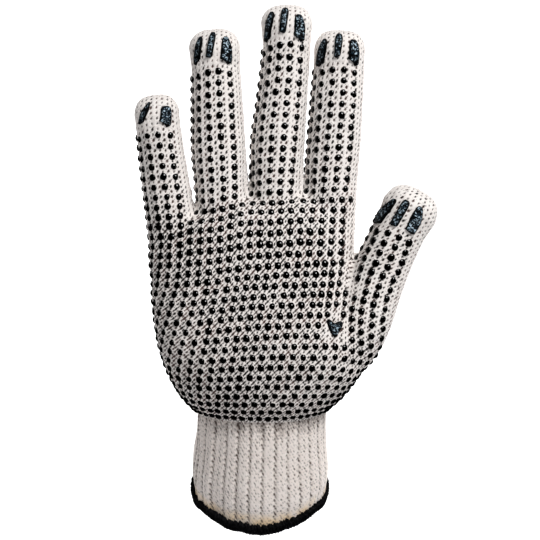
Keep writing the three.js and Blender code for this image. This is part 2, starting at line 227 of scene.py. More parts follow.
@dataclass(frozen=True)
class CuffForm:
    """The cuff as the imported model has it: x, y, z, half width, half depth and tilt at the wrist and the mouth."""
    wrist: tuple[float, ...] = (1.2, 11.4, 37.3, 30.4, 22.4, 12)
    mouth: tuple[float, ...] = (0.1, 30, -3.6, 32.4, 26.4, 45)

    def section(self, share: float) -> np.ndarray:
        """The six numbers of a section at a share of the way from wrist to mouth."""
        start, end = np.array(self.wrist), np.array(self.mouth)
        return start + (end - start) * share

    def length(self) -> float:
        """The distance from wrist to mouth, in millimetres."""
        return math.hypot(self.wrist[1] - self.mouth[1], self.wrist[2] - self.mouth[2])


CUFF = CuffForm()


def even_ring(centre: np.ndarray, across: np.ndarray, deep: np.ndarray, half_width: float, half_depth: float,
              power: float, sides: int) -> np.ndarray:
    """A superellipse with its points evenly spaced along it, from the palm side's middle towards the thumb.

    Args:
        centre: the ring's middle.
        across: the direction towards the thumb, of length one.
        deep: the direction towards the palm side, of length one.
        half_width: reach along across.
        half_depth: reach along deep.
        power: 2 is an ellipse, more is squarer.
        sides: how many points it gets.
    Returns:
        The points, one row each.
    """
    angle = np.linspace(0.0, 2.0 * math.pi, RING_STEPS + 1)
    right = signed_power(np.sin(angle), 2 / power) * half_width
    front = signed_power(np.cos(angle), 2 / power) * half_depth
    dense = centre + right[:, None] * across + front[:, None] * deep
    along = np.concatenate([[0.0], np.cumsum(np.linalg.norm(np.diff(dense, axis=0), axis=1))])
    wanted = np.arange(sides) / sides * along[-1]
    return np.stack([np.interp(wanted, along, dense[:, k]) for k in range(3)], axis=1)


def leaning_ring(numbers: np.ndarray, power: float, sides: int) -> np.ndarray:
    """An even ring of the palm or the cuff.

    Args:
        numbers: x, y, z, half width, half depth and tilt in degrees, which lowers the front.
        power: the superellipse's power.
        sides: how many points it gets.
    Returns:
        The points, one row each.
    """
    tilt = math.radians(numbers[5])
    deep = -np.array([0.0, math.cos(tilt), math.sin(tilt)])
    return even_ring(np.array(numbers[:3]), np.array([1.0, 0.0, 0.0]), deep, numbers[3], numbers[4], power, sides)


def mouth_sag(x: np.ndarray) -> np.ndarray:
    """How much lower the cuff's edge hangs than its packed form, in millimetres, by the place across."""
    return (1.3 * np.exp(-((x - 1.0) / 10.0) ** 2) + 0.3 * np.exp(-((x - 20.0) / 6.0) ** 2)
            + 0.9 * np.exp(-((x + 14.5) / 5.0) ** 2) + 3.0 * smooth_step(26.0, 33.0, np.abs(x)))


def grid_faces(rings: int, sides: int, cap_start: bool, cap_end: bool) -> list[tuple[int, ...]]:
    """The faces of a closed tube of rings, with a flat face at either end if asked."""
    faces = [(r * sides + s, r * sides + (s + 1) % sides, (r + 1) * sides + (s + 1) % sides, (r + 1) * sides + s)
             for r in range(rings - 1) for s in range(sides)]
    if cap_start:
        faces.append(tuple(range(sides))[::-1])
    if cap_end:
        faces.append(tuple((rings - 1) * sides + s for s in range(sides)))
    return faces


class FingerSurface:
    """A finger's smooth outer face, as evenly spaced rings from inside the palm to the tip."""
    SIDES = 72
    DOME_RINGS = 10
    DOME_END = 0.985  # of a quarter turn, which leaves the last ring a little open

    def __init__(self, form: FingerForm) -> None:
        """Draws the rings.

        Args:
            form: the finger's sizes.
        """
        self.form = form
        rows = spline(np.array(form.rows, float), 8)
        centres, widths = rows[:, :3], rows[:, 3]
        along = unit(np.gradient(centres, axis=0))
        across = unit(np.stack([along[:, 2], np.zeros(len(along)), -along[:, 0]], axis=1))
        deep = np.cross(across, along)
        rings, height = [], [0.0]
        for k, centre in enumerate(centres):
            rings.append(even_ring(centre, across[k], deep[k], widths[k], widths[k] * FINGER_FLATTEN,
                                   FINGER_POWER, self.SIDES))
            if k:
                height.append(height[-1] + float(np.linalg.norm(centre - centres[k - 1])))
        self.axis_end = len(centres) - 1
        last = (0.0, widths[-1])
        for step in range(1, self.DOME_RINGS + 1):
            angle = math.pi / 2 * step / self.DOME_RINGS * self.DOME_END
            closing = math.cos(angle)
            rise = (form.dome_length + form.growth) * math.sin(angle) ** 0.92
            width_left = form.swell * (0.35 * closing + 0.65 * math.sqrt(closing))
            rings.append(even_ring(centres[-1] + along[-1] * rise, across[-1], deep[-1], widths[-1] * width_left,
                                   widths[-1] * FINGER_FLATTEN * closing, FINGER_POWER, self.SIDES))
            radius = widths[-1] * (width_left + closing) / 2
            height.append(height[-1] + math.hypot(rise - last[0], radius - last[1]))
            last = (rise, radius)
        self.rings = np.array(rings)
        self.height = np.array(height)
        self.centres = self.rings.mean(axis=1)
        self.along, self.across = along[-1], across[-1]
        self.tip = centres[-1] + along[-1] * form.dome_length
        self.axes = np.vstack([along, np.repeat(along[-1:], self.DOME_RINGS, axis=0)])

    def tree(self) -> BVHTree:
        """The surface as a search tree."""
        points = self.rings.reshape(-1, 3)
        return BVHTree.FromPolygons(points.tolist(), grid_faces(len(self.rings), self.SIDES, True, True))

    def at(self, height: float, share: float) -> np.ndarray:
        """A point of the surface.

        Args:
            height: distance along the finger, over its skin.
            share: how far round, from the middle of its palm side towards the thumb, as a share of a turn.
        Returns:
            The point.
        """
        row = np.interp(height, self.height, np.arange(len(self.height)))
        low = min(int(row), len(self.rings) - 2)
        side = (share % 1.0) * self.SIDES
        left = int(side) % self.SIDES
        right = (left + 1) % self.SIDES
        t, s = row - low, side - int(side)
        lower = self.rings[low, left] * (1 - s) + self.rings[low, right] * s
        upper = self.rings[low + 1, left] * (1 - s) + self.rings[low + 1, right] * s
        return lower * (1 - t) + upper * t

    def height_of(self, point: np.ndarray) -> float:
        """The distance along the finger at which a point lies."""
        offset = np.einsum("ij,ij->i", point - self.centres, self.axes)[:self.axis_end]
        k = int(np.argmin(np.abs(offset)))
        return float(self.height[k] + offset[k])


class GloveForm:
    """The whole smooth form: palm, fingers and the top of the cuff melted into one skin."""
    SIDES = 120
    VOXEL = 1.1
    SMOOTHING = 7
    FAR = 90.0

    def __init__(self) -> None:
        """Draws the parts and melts them together."""
        self.fingers = {form.name: FingerSurface(form) for form in (*FOUR_FINGERS, THUMB)}
        self.trees = {name: surface.tree() for name, surface in self.fingers.items()}
        self.tree = self.melted()

    def palm_rings(self) -> np.ndarray:
        """The rings of the palm, from a little way down the cuff to the knuckles."""
        rings = [leaning_ring(CUFF.section(share), 2.05, self.SIDES) for share in (0.55, 0.4, 0.25, 0.13)]
        for row in spline(PALM_ROWS, 4):
            z, left, right, front, back, tilt, arch, power = row
            numbers = np.array([(left + right) / 2, (front + back) / 2, z, (right - left) / 2,
                                (back - front) / 2 / math.cos(math.radians(tilt)), tilt])
            ring = leaning_ring(numbers, power, self.SIDES)
            ring[:, 2] += arch * (KNUCKLE_SLOPE * ring[:, 0] - KNUCKLE_BOW * ring[:, 0] ** 2)
            rings.append(ring)
        return np.array(rings)

    def melted(self) -> BVHTree:
        """Joins all parts by voxels, softens the crotches and returns the search tree of the skin."""
        rings = self.palm_rings()
        points, faces = rings.reshape(-1, 3).tolist(), grid_faces(len(rings), self.SIDES, True, True)
        for surface in self.fingers.values():
            first = len(points)
            points.extend(surface.rings.reshape(-1, 3).tolist())
            faces.extend(tuple(first + k for k in face)
                         for face in grid_faces(len(surface.rings), surface.SIDES, True, True))
        mesh = bpy.data.meshes.new("form")
        mesh.from_pydata(points, [], faces)
        body = add_object("form", mesh)
        remesh = body.modifiers.new("melt", "REMESH")
        remesh.mode = "VOXEL"
        remesh.voxel_size = self.VOXEL
        soften = body.modifiers.new("soften", "SMOOTH")
        soften.factor = 0.5
        soften.iterations = self.SMOOTHING
        done = body.evaluated_get(bpy.context.evaluated_depsgraph_get()).to_mesh()
        corners = np.zeros(len(done.vertices) * 3)
        done.vertices.foreach_get("co", corners)
        tree = BVHTree.FromPolygons(corners.reshape(-1, 3).tolist(), [tuple(p.vertices) for p in done.polygons])
        bpy.data.objects.remove(body)
        bpy.data.meshes.remove(mesh)
        return tree

    def facing(self, x: float, z: float, side: float, owner: str | None = None, beside: float = 10.0) -> np.ndarray:
        """The point of the skin that shows at x and z of the front view.

        Args:
            x: the place across.
            z: the place up.
            side: -1 for the palm side, 1 for the back.
            owner: a finger whose own face is meant, or None for the melted skin.
            beside: how far from the middle the nearest point is looked for, if nothing shows at that place.
        Returns:
            The point.
        """
        tree = self.trees[owner] if owner else self.tree
        hit = tree.ray_cast(Vector((x, side * self.FAR, z)), Vector((0.0, -side, 0.0)))[0]
        return np.array(tree.find_nearest(Vector((x, side * beside, z)))[0] if hit is None else hit)

    def nearest(self, point: np.ndarray, owner: str | None = None, share: float = 0.0) -> np.ndarray:
        """The nearest point of the skin.

        Args:
            point: where to start.
            owner: a finger whose own face counts as well.
            share: how much that face counts.
        Returns:
            The point on the skin.
        """
        place = Vector(point)
        if owner is None or share <= 0.0:
            return np.array(self.tree.find_nearest(place)[0])
        own = np.array(self.trees[owner].find_nearest(place)[0])
        if share >= 1.0:
            return own
        return own * share + np.array(self.tree.find_nearest(place)[0]) * (1.0 - share)


# The net of stitches

class Piece(Enum):
    """The knitted pieces, each one object."""
    LITTLE_FINGER = "little_finger_knit"
    RING_FINGER = "ring_finger_knit"
    MIDDLE_FINGER = "middle_finger_knit"
    INDEX_FINGER = "index_finger_knit"
    THUMB = "thumb_knit"
    PALM_FRONT = "palm_knit"
    PALM_BACK = "back_knit"


FINGER_PIECES = {"little_finger": Piece.LITTLE_FINGER, "ring_finger": Piece.RING_FINGER,
                 "middle_finger": Piece.MIDDLE_FINGER, "index_finger": Piece.INDEX_FINGER, "thumb": Piece.THUMB}
OWNERS = tuple(FINGER_PIECES)


@dataclass
class Block:
    """A rectangle of stitches in the net: its corner points' numbers, and how finely each stitch is drawn."""
    name: str
    ids: np.ndarray
    pieces: np.ndarray
    across: int = 6
    along: int = 5
    owner: str | None = None


class StitchNet:
    """All stitches of hand and fingers. Palm rows run up, columns run from the palm side round to the back."""
    LOWER_COURSES = 34
    UPPER_COURSES = 10
    KNUCKLE_COURSES = 2
    ROUNDS = 60
    WRIST_CENTRE = 28.6
    WRIST_INSET = (1.2, 0.9, 0.3)  # how much lower, narrower and thinner its row is than the palm's first ring
    WRIST_PLAIN, WRIST_WIDER, WRIST_REACH = 1.2, 0.55, 23.0  # widths of its wales, and how many are wider
    COURSE_GROWTH = 0.06
    TIP_COURSE = 2.3  # height of a course of a tip's patch
    ROOT_COURSES = 4  # over which a finger's stitches leave the direction of its root
    KEPT, PULLED = 0.45, 0.55  # shares of a point's own place and of its neighbours' in one round
    SPACE_EVERY = 6

    # Places of the front view, as x and z
    CROTCHES = ((-29.9, 123.6), (-4.9, 134.6), (20.2, 134.2))
    CROTCH_REACH = 6.5  # of its two points from y 0
    RISE = (0.6, 0, 5.5)  # from the little finger's crotch to the outer side of the ring finger's root
    LEVEL = ((-49.3, 124.4), (-29.9, 123.6), (-6.2, 128.9), (18.6, 129.9), (43.0, 131.8))
    LITTLE_TRACK = ((-49.3, 124.4), (-44, 122.9), (-38, 122.0), (-33, 122.3), (-29.9, 123.6))
    ROOTS = ((-28.2, 129.4), (-4.9, 134.6), (20.2, 134.2), (43.0, 137.6))
    NOTCH = (42.6, 106.6)
    NOTCH_Y, NOTCH_REACH = -3.0, 5.5
    NOTCH_LEFT = (-47.5, 100.8)
    NOTCH_RIGHT = (42.0, 106.2)
    NOTCH_TRACK = ((-47.5, 100.8), (-42, 99.8), (-38, 99.3), (-26, 99.8), (-8, 102.0), (13, 104.2), (35, 105.6),
                   (42.6, 106.4))
    THUMB_ENDS = ((43.4, 105.9), (64.8, 96.2))

    def __init__(self, form: GloveForm) -> None:
        """Lays out the net and settles it on the form.

        Args:
            form: the smooth form of the glove.
        """
        self.form = form
        self.points: list[np.ndarray] = []
        self.fixed: set[int] = set()
        self.owners: list[tuple[str | None, float]] = []
        self.blocks: dict[str, Block] = {}
        self.lay_out()
        self.settle()

    def add(self, point: np.ndarray, owner: str | None = None, share: float = 0.0) -> int:
        """Adds one corner point and returns its number."""
        self.points.append(np.asarray(point, float))
        self.owners.append((owner, share))
        return len(self.points) - 1

    def front_line(self, start: Pair, end: Pair, count: int, side: float,
                   track: tuple[Pair, ...] = ()) -> list[int]:
        """New points on the skin, evenly between two places of the front view and without those two.

        Args:
            start: x and z of the first place.
            end: x and z of the last place.
            count: how many stitches lie between the places.
            side: -1 for the palm side, 1 for the back.
            track: x and z of places that the line follows, if it isn't straight.
        Returns:
            The points' numbers.
        """
        made = []
        for k in range(1, count):
            t = k / count
            x = start[0] + (end[0] - start[0]) * t
            z = float(np.interp(x, *zip(*track))) if track else start[1] + (end[1] - start[1]) * t
            made.append(self.add(self.form.facing(x, z, side)))
        return made

    def side_line(self, start: int, end: int, bulge: Triple) -> list[int]:
        """New points round a side or over a crotch, from the palm side's point to the back's.

        Args:
            start: the palm side's point.
            end: the back's point.
            bulge: how far the line stands out halfway.
        Returns:
            The numbers of the three points between.
        """
        made = []
        for k in range(1, BAND):
            t = k / BAND
            place = self.points[start] * (1 - t) + self.points[end] * t + np.array(bulge) * 4 * t * (1 - t)
            made.append(self.add(self.form.nearest(place)))
        return made

    def crotch_pair(self, place: Pair, middle: float, reach: float) -> tuple[int, ...]:
        """Two fixed points on either side of a crotch, palm side first.

        Args:
            place: x and z of the crotch.
            middle: its y.
            reach: how far the points are from the middle.
        Returns:
            The points' numbers.
        """
        made = tuple(self.add(self.form.nearest(np.array([place[0], middle + side * reach, place[1]])))
                     for side in BOTH_SIDES)
        self.fixed.update(made)
        return made

    def facing_pair(self, place: Pair) -> tuple[int, ...]:
        """New points of the palm side and of the back at x and z of the front view."""
        return tuple(self.add(self.form.facing(*place, side)) for side in BOTH_SIDES)

    def lay_out(self) -> None:
        """Numbers all points and blocks, and puts the points near where they belong."""
        crotch = [self.crotch_pair(place, 0.0, self.CROTCH_REACH) for place in self.CROTCHES]
        notch = self.crotch_pair(self.NOTCH, self.NOTCH_Y, self.NOTCH_REACH)
        saddles = [self.side_line(*pair, (0, 0, 1.5)) for pair in crotch]
        notch_saddle = self.side_line(*notch, (0, 0, 1.0))
        three = (RING, MIDDLE, INDEX)

        # The row under the little finger's crotch, round all four fingers
        outer, inner = self.facing_pair(self.LEVEL[0]), self.facing_pair(self.LEVEL[-1])
        left_band = self.side_line(*outer, (-3, 0, 0))
        right_band = self.side_line(*inner, (3, 0, 0))
        lines = []
        for k, side in enumerate(BOTH_SIDES):
            line = [outer[k], *self.front_line(*self.LEVEL[:2], LITTLE.wales, side, self.LITTLE_TRACK), crotch[0][k]]
            for finger, start, end in zip(three, self.LEVEL[1:], self.LEVEL[2:]):
                line += self.front_line(start, end, finger.wales, side)
                line.append(inner[k] if finger is INDEX else self.add(self.form.facing(*end, side)))
            lines.append(line)
        front, back = lines
        upper_top = front + right_band + back[::-1] + left_band[::-1]

        # The little finger's root, and the row of the three other fingers
        split = LITTLE.wales
        little_root = front[:split + 1] + saddles[0] + back[:split + 1][::-1] + left_band[::-1]
        three_base = front[split:] + right_band + back[split:][::-1] + saddles[0][::-1]

        # The roots of the three other fingers
        inner_top = self.facing_pair(self.ROOTS[-1])
        top_right_band = self.side_line(*inner_top, (3, 0, 0))
        outer_top = tuple(self.add(self.form.nearest(self.points[k] + np.array(self.RISE))) for k in crotch[0])
        top_left_band = self.side_line(*outer_top, (-1, 0, 0.5))
        spans = []
        for k, side in enumerate(BOTH_SIDES):
            ends = (outer_top[k], crotch[1][k], crotch[2][k], inner_top[k])
            spans.append([[ends[n], *self.front_line(self.ROOTS[n], self.ROOTS[n + 1], finger.wales, side), ends[n + 1]]
                          for n, finger in enumerate(three)])
        front, back = (ring + middle[1:] + index[1:] for ring, middle, index in spans)
        three_top = front + top_right_band + back[::-1] + top_left_band[::-1]
        walls = (top_left_band, saddles[1], saddles[2], top_right_band)
        three_roots = [near + walls[n + 1] + far[::-1] + walls[n][::-1] for n, (near, far) in enumerate(zip(*spans))]

        # The row at the crotch of the thumb
        count = sum(finger.wales for finger in FOUR_FINGERS)
        low_left = self.facing_pair(self.NOTCH_LEFT)
        low_band = self.side_line(*low_left, (-3, 0, 0))
        front, back = ([low_left[k], *self.front_line(self.NOTCH_LEFT, self.NOTCH_RIGHT, count, side,
                                                      self.NOTCH_TRACK), notch[k]]
                       for k, side in enumerate(BOTH_SIDES))
        upper_base = front + notch_saddle + back[::-1] + low_band[::-1]

        # The thumb's root
        thumb_right = self.facing_pair(self.THUMB_ENDS[1])
        thumb_band = self.side_line(*thumb_right, (2.5, 0, -0.5))
        thumb_front, thumb_back = ([notch[k], *self.front_line(*self.THUMB_ENDS, THUMB.wales, side), thumb_right[k]]
                                   for k, side in enumerate(BOTH_SIDES))
        thumb_root = thumb_front + thumb_band + thumb_back[::-1] + notch_saddle[::-1]
        lower_top = front + thumb_front[1:] + thumb_band + thumb_back[::-1] + back[::-1][1:] + low_band[::-1]
        wrist = self.wrist_row(len(lower_top))

        self.palm_block("lower_palm", wrist, lower_top, self.LOWER_COURSES, count + THUMB.wales)
        self.palm_block("upper_palm", upper_base, upper_top, self.UPPER_COURSES, count)
        self.palm_block("knuckles", three_base, three_top, self.KNUCKLE_COURSES, count - LITTLE.wales)
        for finger, root in zip((*FOUR_FINGERS, THUMB), (little_root, *three_roots, thumb_root)):
            self.finger_blocks(finger, root)

    def wrist_row(self, count: int) -> list[int]:
        """The fixed row at the wrist, whose stitches are wide in front and drawn together at the back."""
        z, left, right, front, back, tilt = PALM_ROWS[0][:6]
        lower, narrower, thinner = self.WRIST_INSET
        numbers = np.array([(left + right) / 2, (front + back) / 2, z - lower, (right - left) / 2 - narrower,
                            (back - front) / 2 / math.cos(math.radians(tilt)) - thinner, tilt])
        dense = leaning_ring(numbers, 2.08, RING_STEPS)
        k = np.arange(count)
        away = np.abs((k + 0.5 - self.WRIST_CENTRE + count / 2) % count - count / 2)
        weight = self.WRIST_PLAIN + self.WRIST_WIDER * np.exp(-(away / self.WRIST_REACH) ** 2)
        place = np.concatenate([[0.0], np.cumsum(weight)])
        place = (place - np.interp(self.WRIST_CENTRE, np.arange(count + 1), place)) / place[-1]
        made = []
        for share in place[:-1]:
            spot = (share % 1.0) * RING_STEPS
            before, t = int(spot) % RING_STEPS, spot - int(spot)
            made.append(self.add(dense[before] * (1 - t) + dense[(before + 1) % RING_STEPS] * t))
        self.fixed.update(made)
        return made

    def palm_block(self, name: str, base: list[int], top: list[int], courses: int, front: int) -> None:
        """Fills the rows between two closed rows of the same length.

        Args:
            name: the block's name.
            base: the lower row.
            top: the upper row.
            courses: how many rows of stitches lie between.
            front: how many columns the palm side has.
        """
        size = len(base)
        rows = [base]
        for r in range(1, courses):
            t = r / courses
            rows.append([self.add(self.form.nearest(self.points[base[c]] * (1 - t) + self.points[top[c]] * t))
                         for c in range(size)])
        rows.append(top)
        ids = np.array([row + [row[0]] for row in rows])
        column = np.arange(size)
        is_front = (column < front + BAND // 2) | (column >= size - BAND // 2)
        names = np.where(is_front, Piece.PALM_FRONT.value, Piece.PALM_BACK.value)
        self.blocks[name] = Block(name, ids, np.tile(names, (courses, 1)))

    def finger_blocks(self, finger: FingerForm, root: list[int]) -> None:
        """The tube of a finger above its root row, and the patch that closes it at the tip."""
        surface = self.form.fingers[finger.name]
        size = 2 * finger.wales + 2 * BAND
        end = surface.height[-1]
        top = end - (BAND / 2 + 0.1) * self.TIP_COURSE
        start = [surface.height_of(self.points[k]) for k in root]
        shares = (np.arange(size) - finger.wales / 2) / size
        lean = np.array([finger.lean * float((surface.at(top, share) - surface.centres[-1]) @ surface.across)
                         for share in shares])
        rows = [root]
        for r in range(1, finger.courses + 1):
            t = r / finger.courses
            own = float(smooth_step(2.0, 7.0, np.array(float(r))))
            row = []
            for c in range(size):
                place = surface.at(start[c] + (top + lean[c] - start[c]) * t, shares[c])
                if r < self.ROOT_COURSES:
                    lift = self.points[root[c]] + surface.axes[0] * (top - start[c]) * t
                    place = place * (r / self.ROOT_COURSES) + lift * (1 - r / self.ROOT_COURSES)
                row.append(self.add(place, finger.name, own))
            rows.append(row)
        ids = np.array([row + [row[0]] for row in rows])
        piece = FINGER_PIECES[finger.name].value
        self.blocks[finger.name] = Block(finger.name, ids, np.full((finger.courses, size), piece),
                                         owner=finger.name)
        last = rows[-1]
        n, m = finger.wales, BAND
        cap = np.zeros((m + 1, n + 1), int)
        for j, i in np.ndindex(cap.shape):
            a, b = 2 * i / n - 1, 2 * j / m - 1
            reach = max(abs(a), abs(b))
            k = self.on_border(a / max(reach, 1e-9), b / max(reach, 1e-9), n, m)
            if reach == 1:
                cap[j, i] = last[round(k) % size]
                continue
            low = top + float(np.interp(k % size, np.arange(size + 1), np.append(lean, lean[0])))
            place = surface.at(low + (end - low) * (1 - reach), (k - n / 2) / size)
            cap[j, i] = self.add(place if reach > 1e-9 else surface.tip, finger.name, 1.0)
        self.blocks[finger.name + "_tip"] = Block(finger.name + "_tip", cap, np.full((m, n), piece), along=6,
                                                  owner=finger.name)

    @staticmethod
    def on_border(a: float, b: float, wide: int, tall: int) -> float:
        """How far round the border of a patch a place lies, in stitches.

        Args:
            a: the place across, from -1 to 1.
            b: the place up, from -1 to 1. Either a or b is -1 or 1.
            wide: how many stitches wide the patch is.
            tall: how many stitches tall it is.
        Returns:
            The way from the lower left corner, to the right first.
        """
        if b <= -1:
            return (a + 1) / 2 * wide
        if a >= 1:
            return wide + (b + 1) / 2 * tall
        if b >= 1:
            return wide + tall + (1 - a) / 2 * wide
        return 2 * wide + tall + (1 - b) / 2 * tall

    def settle(self) -> None:
        """Evens out the stitches while they slide over the skin, and works out each point's outward direction."""
        points = np.array(self.points)
        pairs = set()
        for block in self.blocks.values():
            ids = block.ids
            for a, b in ((ids[:, :-1], ids[:, 1:]), (ids[:-1], ids[1:])):
                for p, q in zip(a.ravel().tolist(), b.ravel().tolist()):
                    pairs.add((min(p, q), max(p, q)))
        ends = np.array(sorted(pairs))
        degree = np.bincount(ends.ravel(), minlength=len(points)).astype(float)
        movable = np.ones(len(points), bool)
        movable[list(self.fixed)] = False
        movable &= degree > 0
        moving = np.flatnonzero(movable)
        for turn in range(self.ROUNDS):
            total = np.zeros_like(points)
            np.add.at(total, ends[:, 0], points[ends[:, 1]])
            np.add.at(total, ends[:, 1], points[ends[:, 0]])
            mean = total / np.maximum(degree, 1)[:, None]
            points[moving] = points[moving] * self.KEPT + mean[moving] * self.PULLED
            if turn % self.SPACE_EVERY == self.SPACE_EVERY - 1:
                self.space_rows(points)
            for k in moving:
                points[k] = self.form.nearest(points[k], *self.owners[k])
        self.net = points
        normals = np.zeros_like(points)
        for block in self.blocks.values():
            ids = block.ids
            a, b, c, d = ids[:-1, :-1], ids[:-1, 1:], ids[1:, 1:], ids[1:, :-1]
            flat = np.cross(points[c] - points[a], points[d] - points[b])
            for corner in (a, b, c, d):
                np.add.at(normals, corner.ravel(), flat.reshape(-1, 3))
        self.normals = unit(normals)

    def space_rows(self, points: np.ndarray) -> None:
        """Moves the points along their columns until the courses are evenly tall, or grow a little up the fingers.

        Args:
            points: the net's points, which are changed in place.
        """
        for block in self.blocks.values():
            if block.name.endswith("_tip"):
                continue
            grid = points[block.ids]
            rows = len(grid) - 1
            share = np.arange(rows + 1) / rows
            if block.owner:
                share = share + self.COURSE_GROWTH * share * (share - 1)
            along = np.concatenate([np.zeros((1, grid.shape[1])),
                                    np.cumsum(np.linalg.norm(np.diff(grid, axis=0), axis=2), axis=0)])
            for c in range(grid.shape[1] - 1):
                wanted = share[1:-1] * along[-1, c]
                for k in range(3):
                    points[block.ids[1:-1, c], k] = np.interp(wanted, along[:, c], grid[:, c, k])

    def place(self, block: str, row: float, column: float) -> tuple[np.ndarray, np.ndarray, np.ndarray]:
        """A point of the net between its corner points.

        Args:
            block: the block's name.
            row: how many courses up.
            column: how many wales along, which may be negative in a closed block.
        Returns:
            The point, the outward direction and the direction of the row there.
        """
        ids = self.blocks[block].ids
        columns = ids.shape[1] - 1
        column %= columns
        r, c = min(int(row), ids.shape[0] - 2), int(column)
        t, s = row - r, column - c
        weights = ((ids[r, c], (1 - t) * (1 - s)), (ids[r, c + 1], (1 - t) * s), (ids[r + 1, c], t * (1 - s)),
                   (ids[r + 1, c + 1], t * s))
        point = sum(self.net[k] * w for k, w in weights)
        normal = unit(sum(self.normals[k] * w for k, w in weights))
        forward = self.net[ids[r, c + 1]] - self.net[ids[r, c]]
        return point, normal, unit(forward - normal * float(forward @ normal))


# Shader nodes

class Value:
    """A number of a material's node tree. Its operators add Math nodes."""

    def __init__(self, paint: "Paint", socket: bpy.types.NodeSocket) -> None:
        """Wraps a socket."""
        self.paint = paint
        self.socket = socket

    def calculate(self, operation: str, *others: "Value | float") -> "Value":
        """One Math node on this value and others.

        Args:
            operation: the Math node's operation.
            others: the values or numbers that follow this one.
        Returns:
            The node's result.
        """
        return self.paint.math(operation, self, *others)

    def __add__(self, other: "Value | float") -> "Value":
        """self + other."""
        return self.calculate("ADD", other)

    __radd__ = __add__

    def __mul__(self, other: "Value | float") -> "Value":
        """self * other."""
        return self.calculate("MULTIPLY", other)

    __rmul__ = __mul__

    def __sub__(self, other: "Value | float") -> "Value":
        """self - other."""
        return self.calculate("SUBTRACT", other)

    def __rsub__(self, other: "Value | float") -> "Value":
        """other - self."""
        return self.paint.math("SUBTRACT", other, self)

    def clipped(self) -> "Value":
        """This value held between 0 and 1."""
        return self.calculate("MINIMUM", 1.0).calculate("MAXIMUM", 0.0)


class Paint:
    """A material under construction."""

    def __init__(self, name: str) -> None:
        """Starts an empty material with its shader."""
        self.material = bpy.data.materials.new(name)
        self.material.use_nodes = True
        self.tree = self.material.node_tree
        self.tree.nodes.clear()
        self.shader = self.node("ShaderNodeBsdfPrincipled")
        self.node("ShaderNodeOutputMaterial", inputs={"Surface": self.shader.outputs["BSDF"]})
        self.where = self.node("ShaderNodeTexCoord").outputs["Object"]

    def put(self, socket: bpy.types.NodeSocket, value: object) -> None:
        """Links a Value or a socket to an input, or sets the input to a number or a colour."""
        value = value.socket if isinstance(value, Value) else value
        if isinstance(value, bpy.types.NodeSocket):
            self.tree.links.new(value, socket)
        else:
            socket.default_value = (*value, 1.0) if isinstance(value, tuple) else value

    def node(self, kind: str, settings: dict[str, object] | None = None,
             inputs: dict[str | int, object] | None = None) -> bpy.types.Node:
        """Adds any node.

        Args:
            kind: the node's type.
            settings: its properties.
            inputs: numbers, colours, sockets or Values for its inputs.
        Returns:
            The node.
        """
        made = self.tree.nodes.new(kind)
        for key, setting in (settings or {}).items():
            setattr(made, key, setting)
        for key, value in (inputs or {}).items():
            self.put(made.inputs[key], value)
        return made

    def math(self, operation: str, *values: Value | float) -> Value:
        """One Math node."""
        made = self.node("ShaderNodeMath", {"operation": operation}, dict(enumerate(values)))
        return Value(self, made.outputs[0])

    def attribute(self, name: str) -> Value:
        """A number kept at the mesh's points."""
        return Value(self, self.node("ShaderNodeAttribute", {"attribute_name": name}).outputs["Fac"])

    def noise(self, scale: float, detail: float = 2.0) -> Value:
        """Noise in object space, from 0 to 1, at so many waves a metre and with so many finer layers."""
        made = self.node("ShaderNodeTexNoise", inputs={"Vector": self.where, "Scale": scale, "Detail": detail})
        return Value(self, made.outputs[0])

    def ramp(self, value: Value, low: float, high: float) -> Value:
        """0 below low and 1 above high, and even in between."""
        made = self.node("ShaderNodeMapRange", inputs={"Value": value, "From Min": low, "From Max": high})
        return Value(self, made.outputs[0])

    def blend(self, share: Value | float, first: object, second: object) -> bpy.types.NodeSocket:
        """A mix of two colours.

        Args:
            share: how much of the second.
            first: a colour or a colour socket.
            second: a colour or a colour socket.
        Returns:
            The colour socket.
        """
        return self.node("ShaderNodeMix", {"data_type": "RGBA"}, {0: share, 6: first, 7: second}).outputs[2]

    def bump(self, height: Value, distance: float, strength: float = 1.0) -> bpy.types.NodeSocket:
        """The normal of a fine relief."""
        made = self.node("ShaderNodeBump", inputs={"Height": height, "Distance": distance, "Strength": strength})
        return made.outputs[0]

    def finish(self, **inputs: object) -> bpy.types.Material:
        """Sets the shader's sockets, whose names are written with low lines, and returns the material."""
        for name, value in inputs.items():
            self.put(self.shader.inputs[name.replace("_", " ").title().replace("Ior", "IOR")], value)
        return self.material


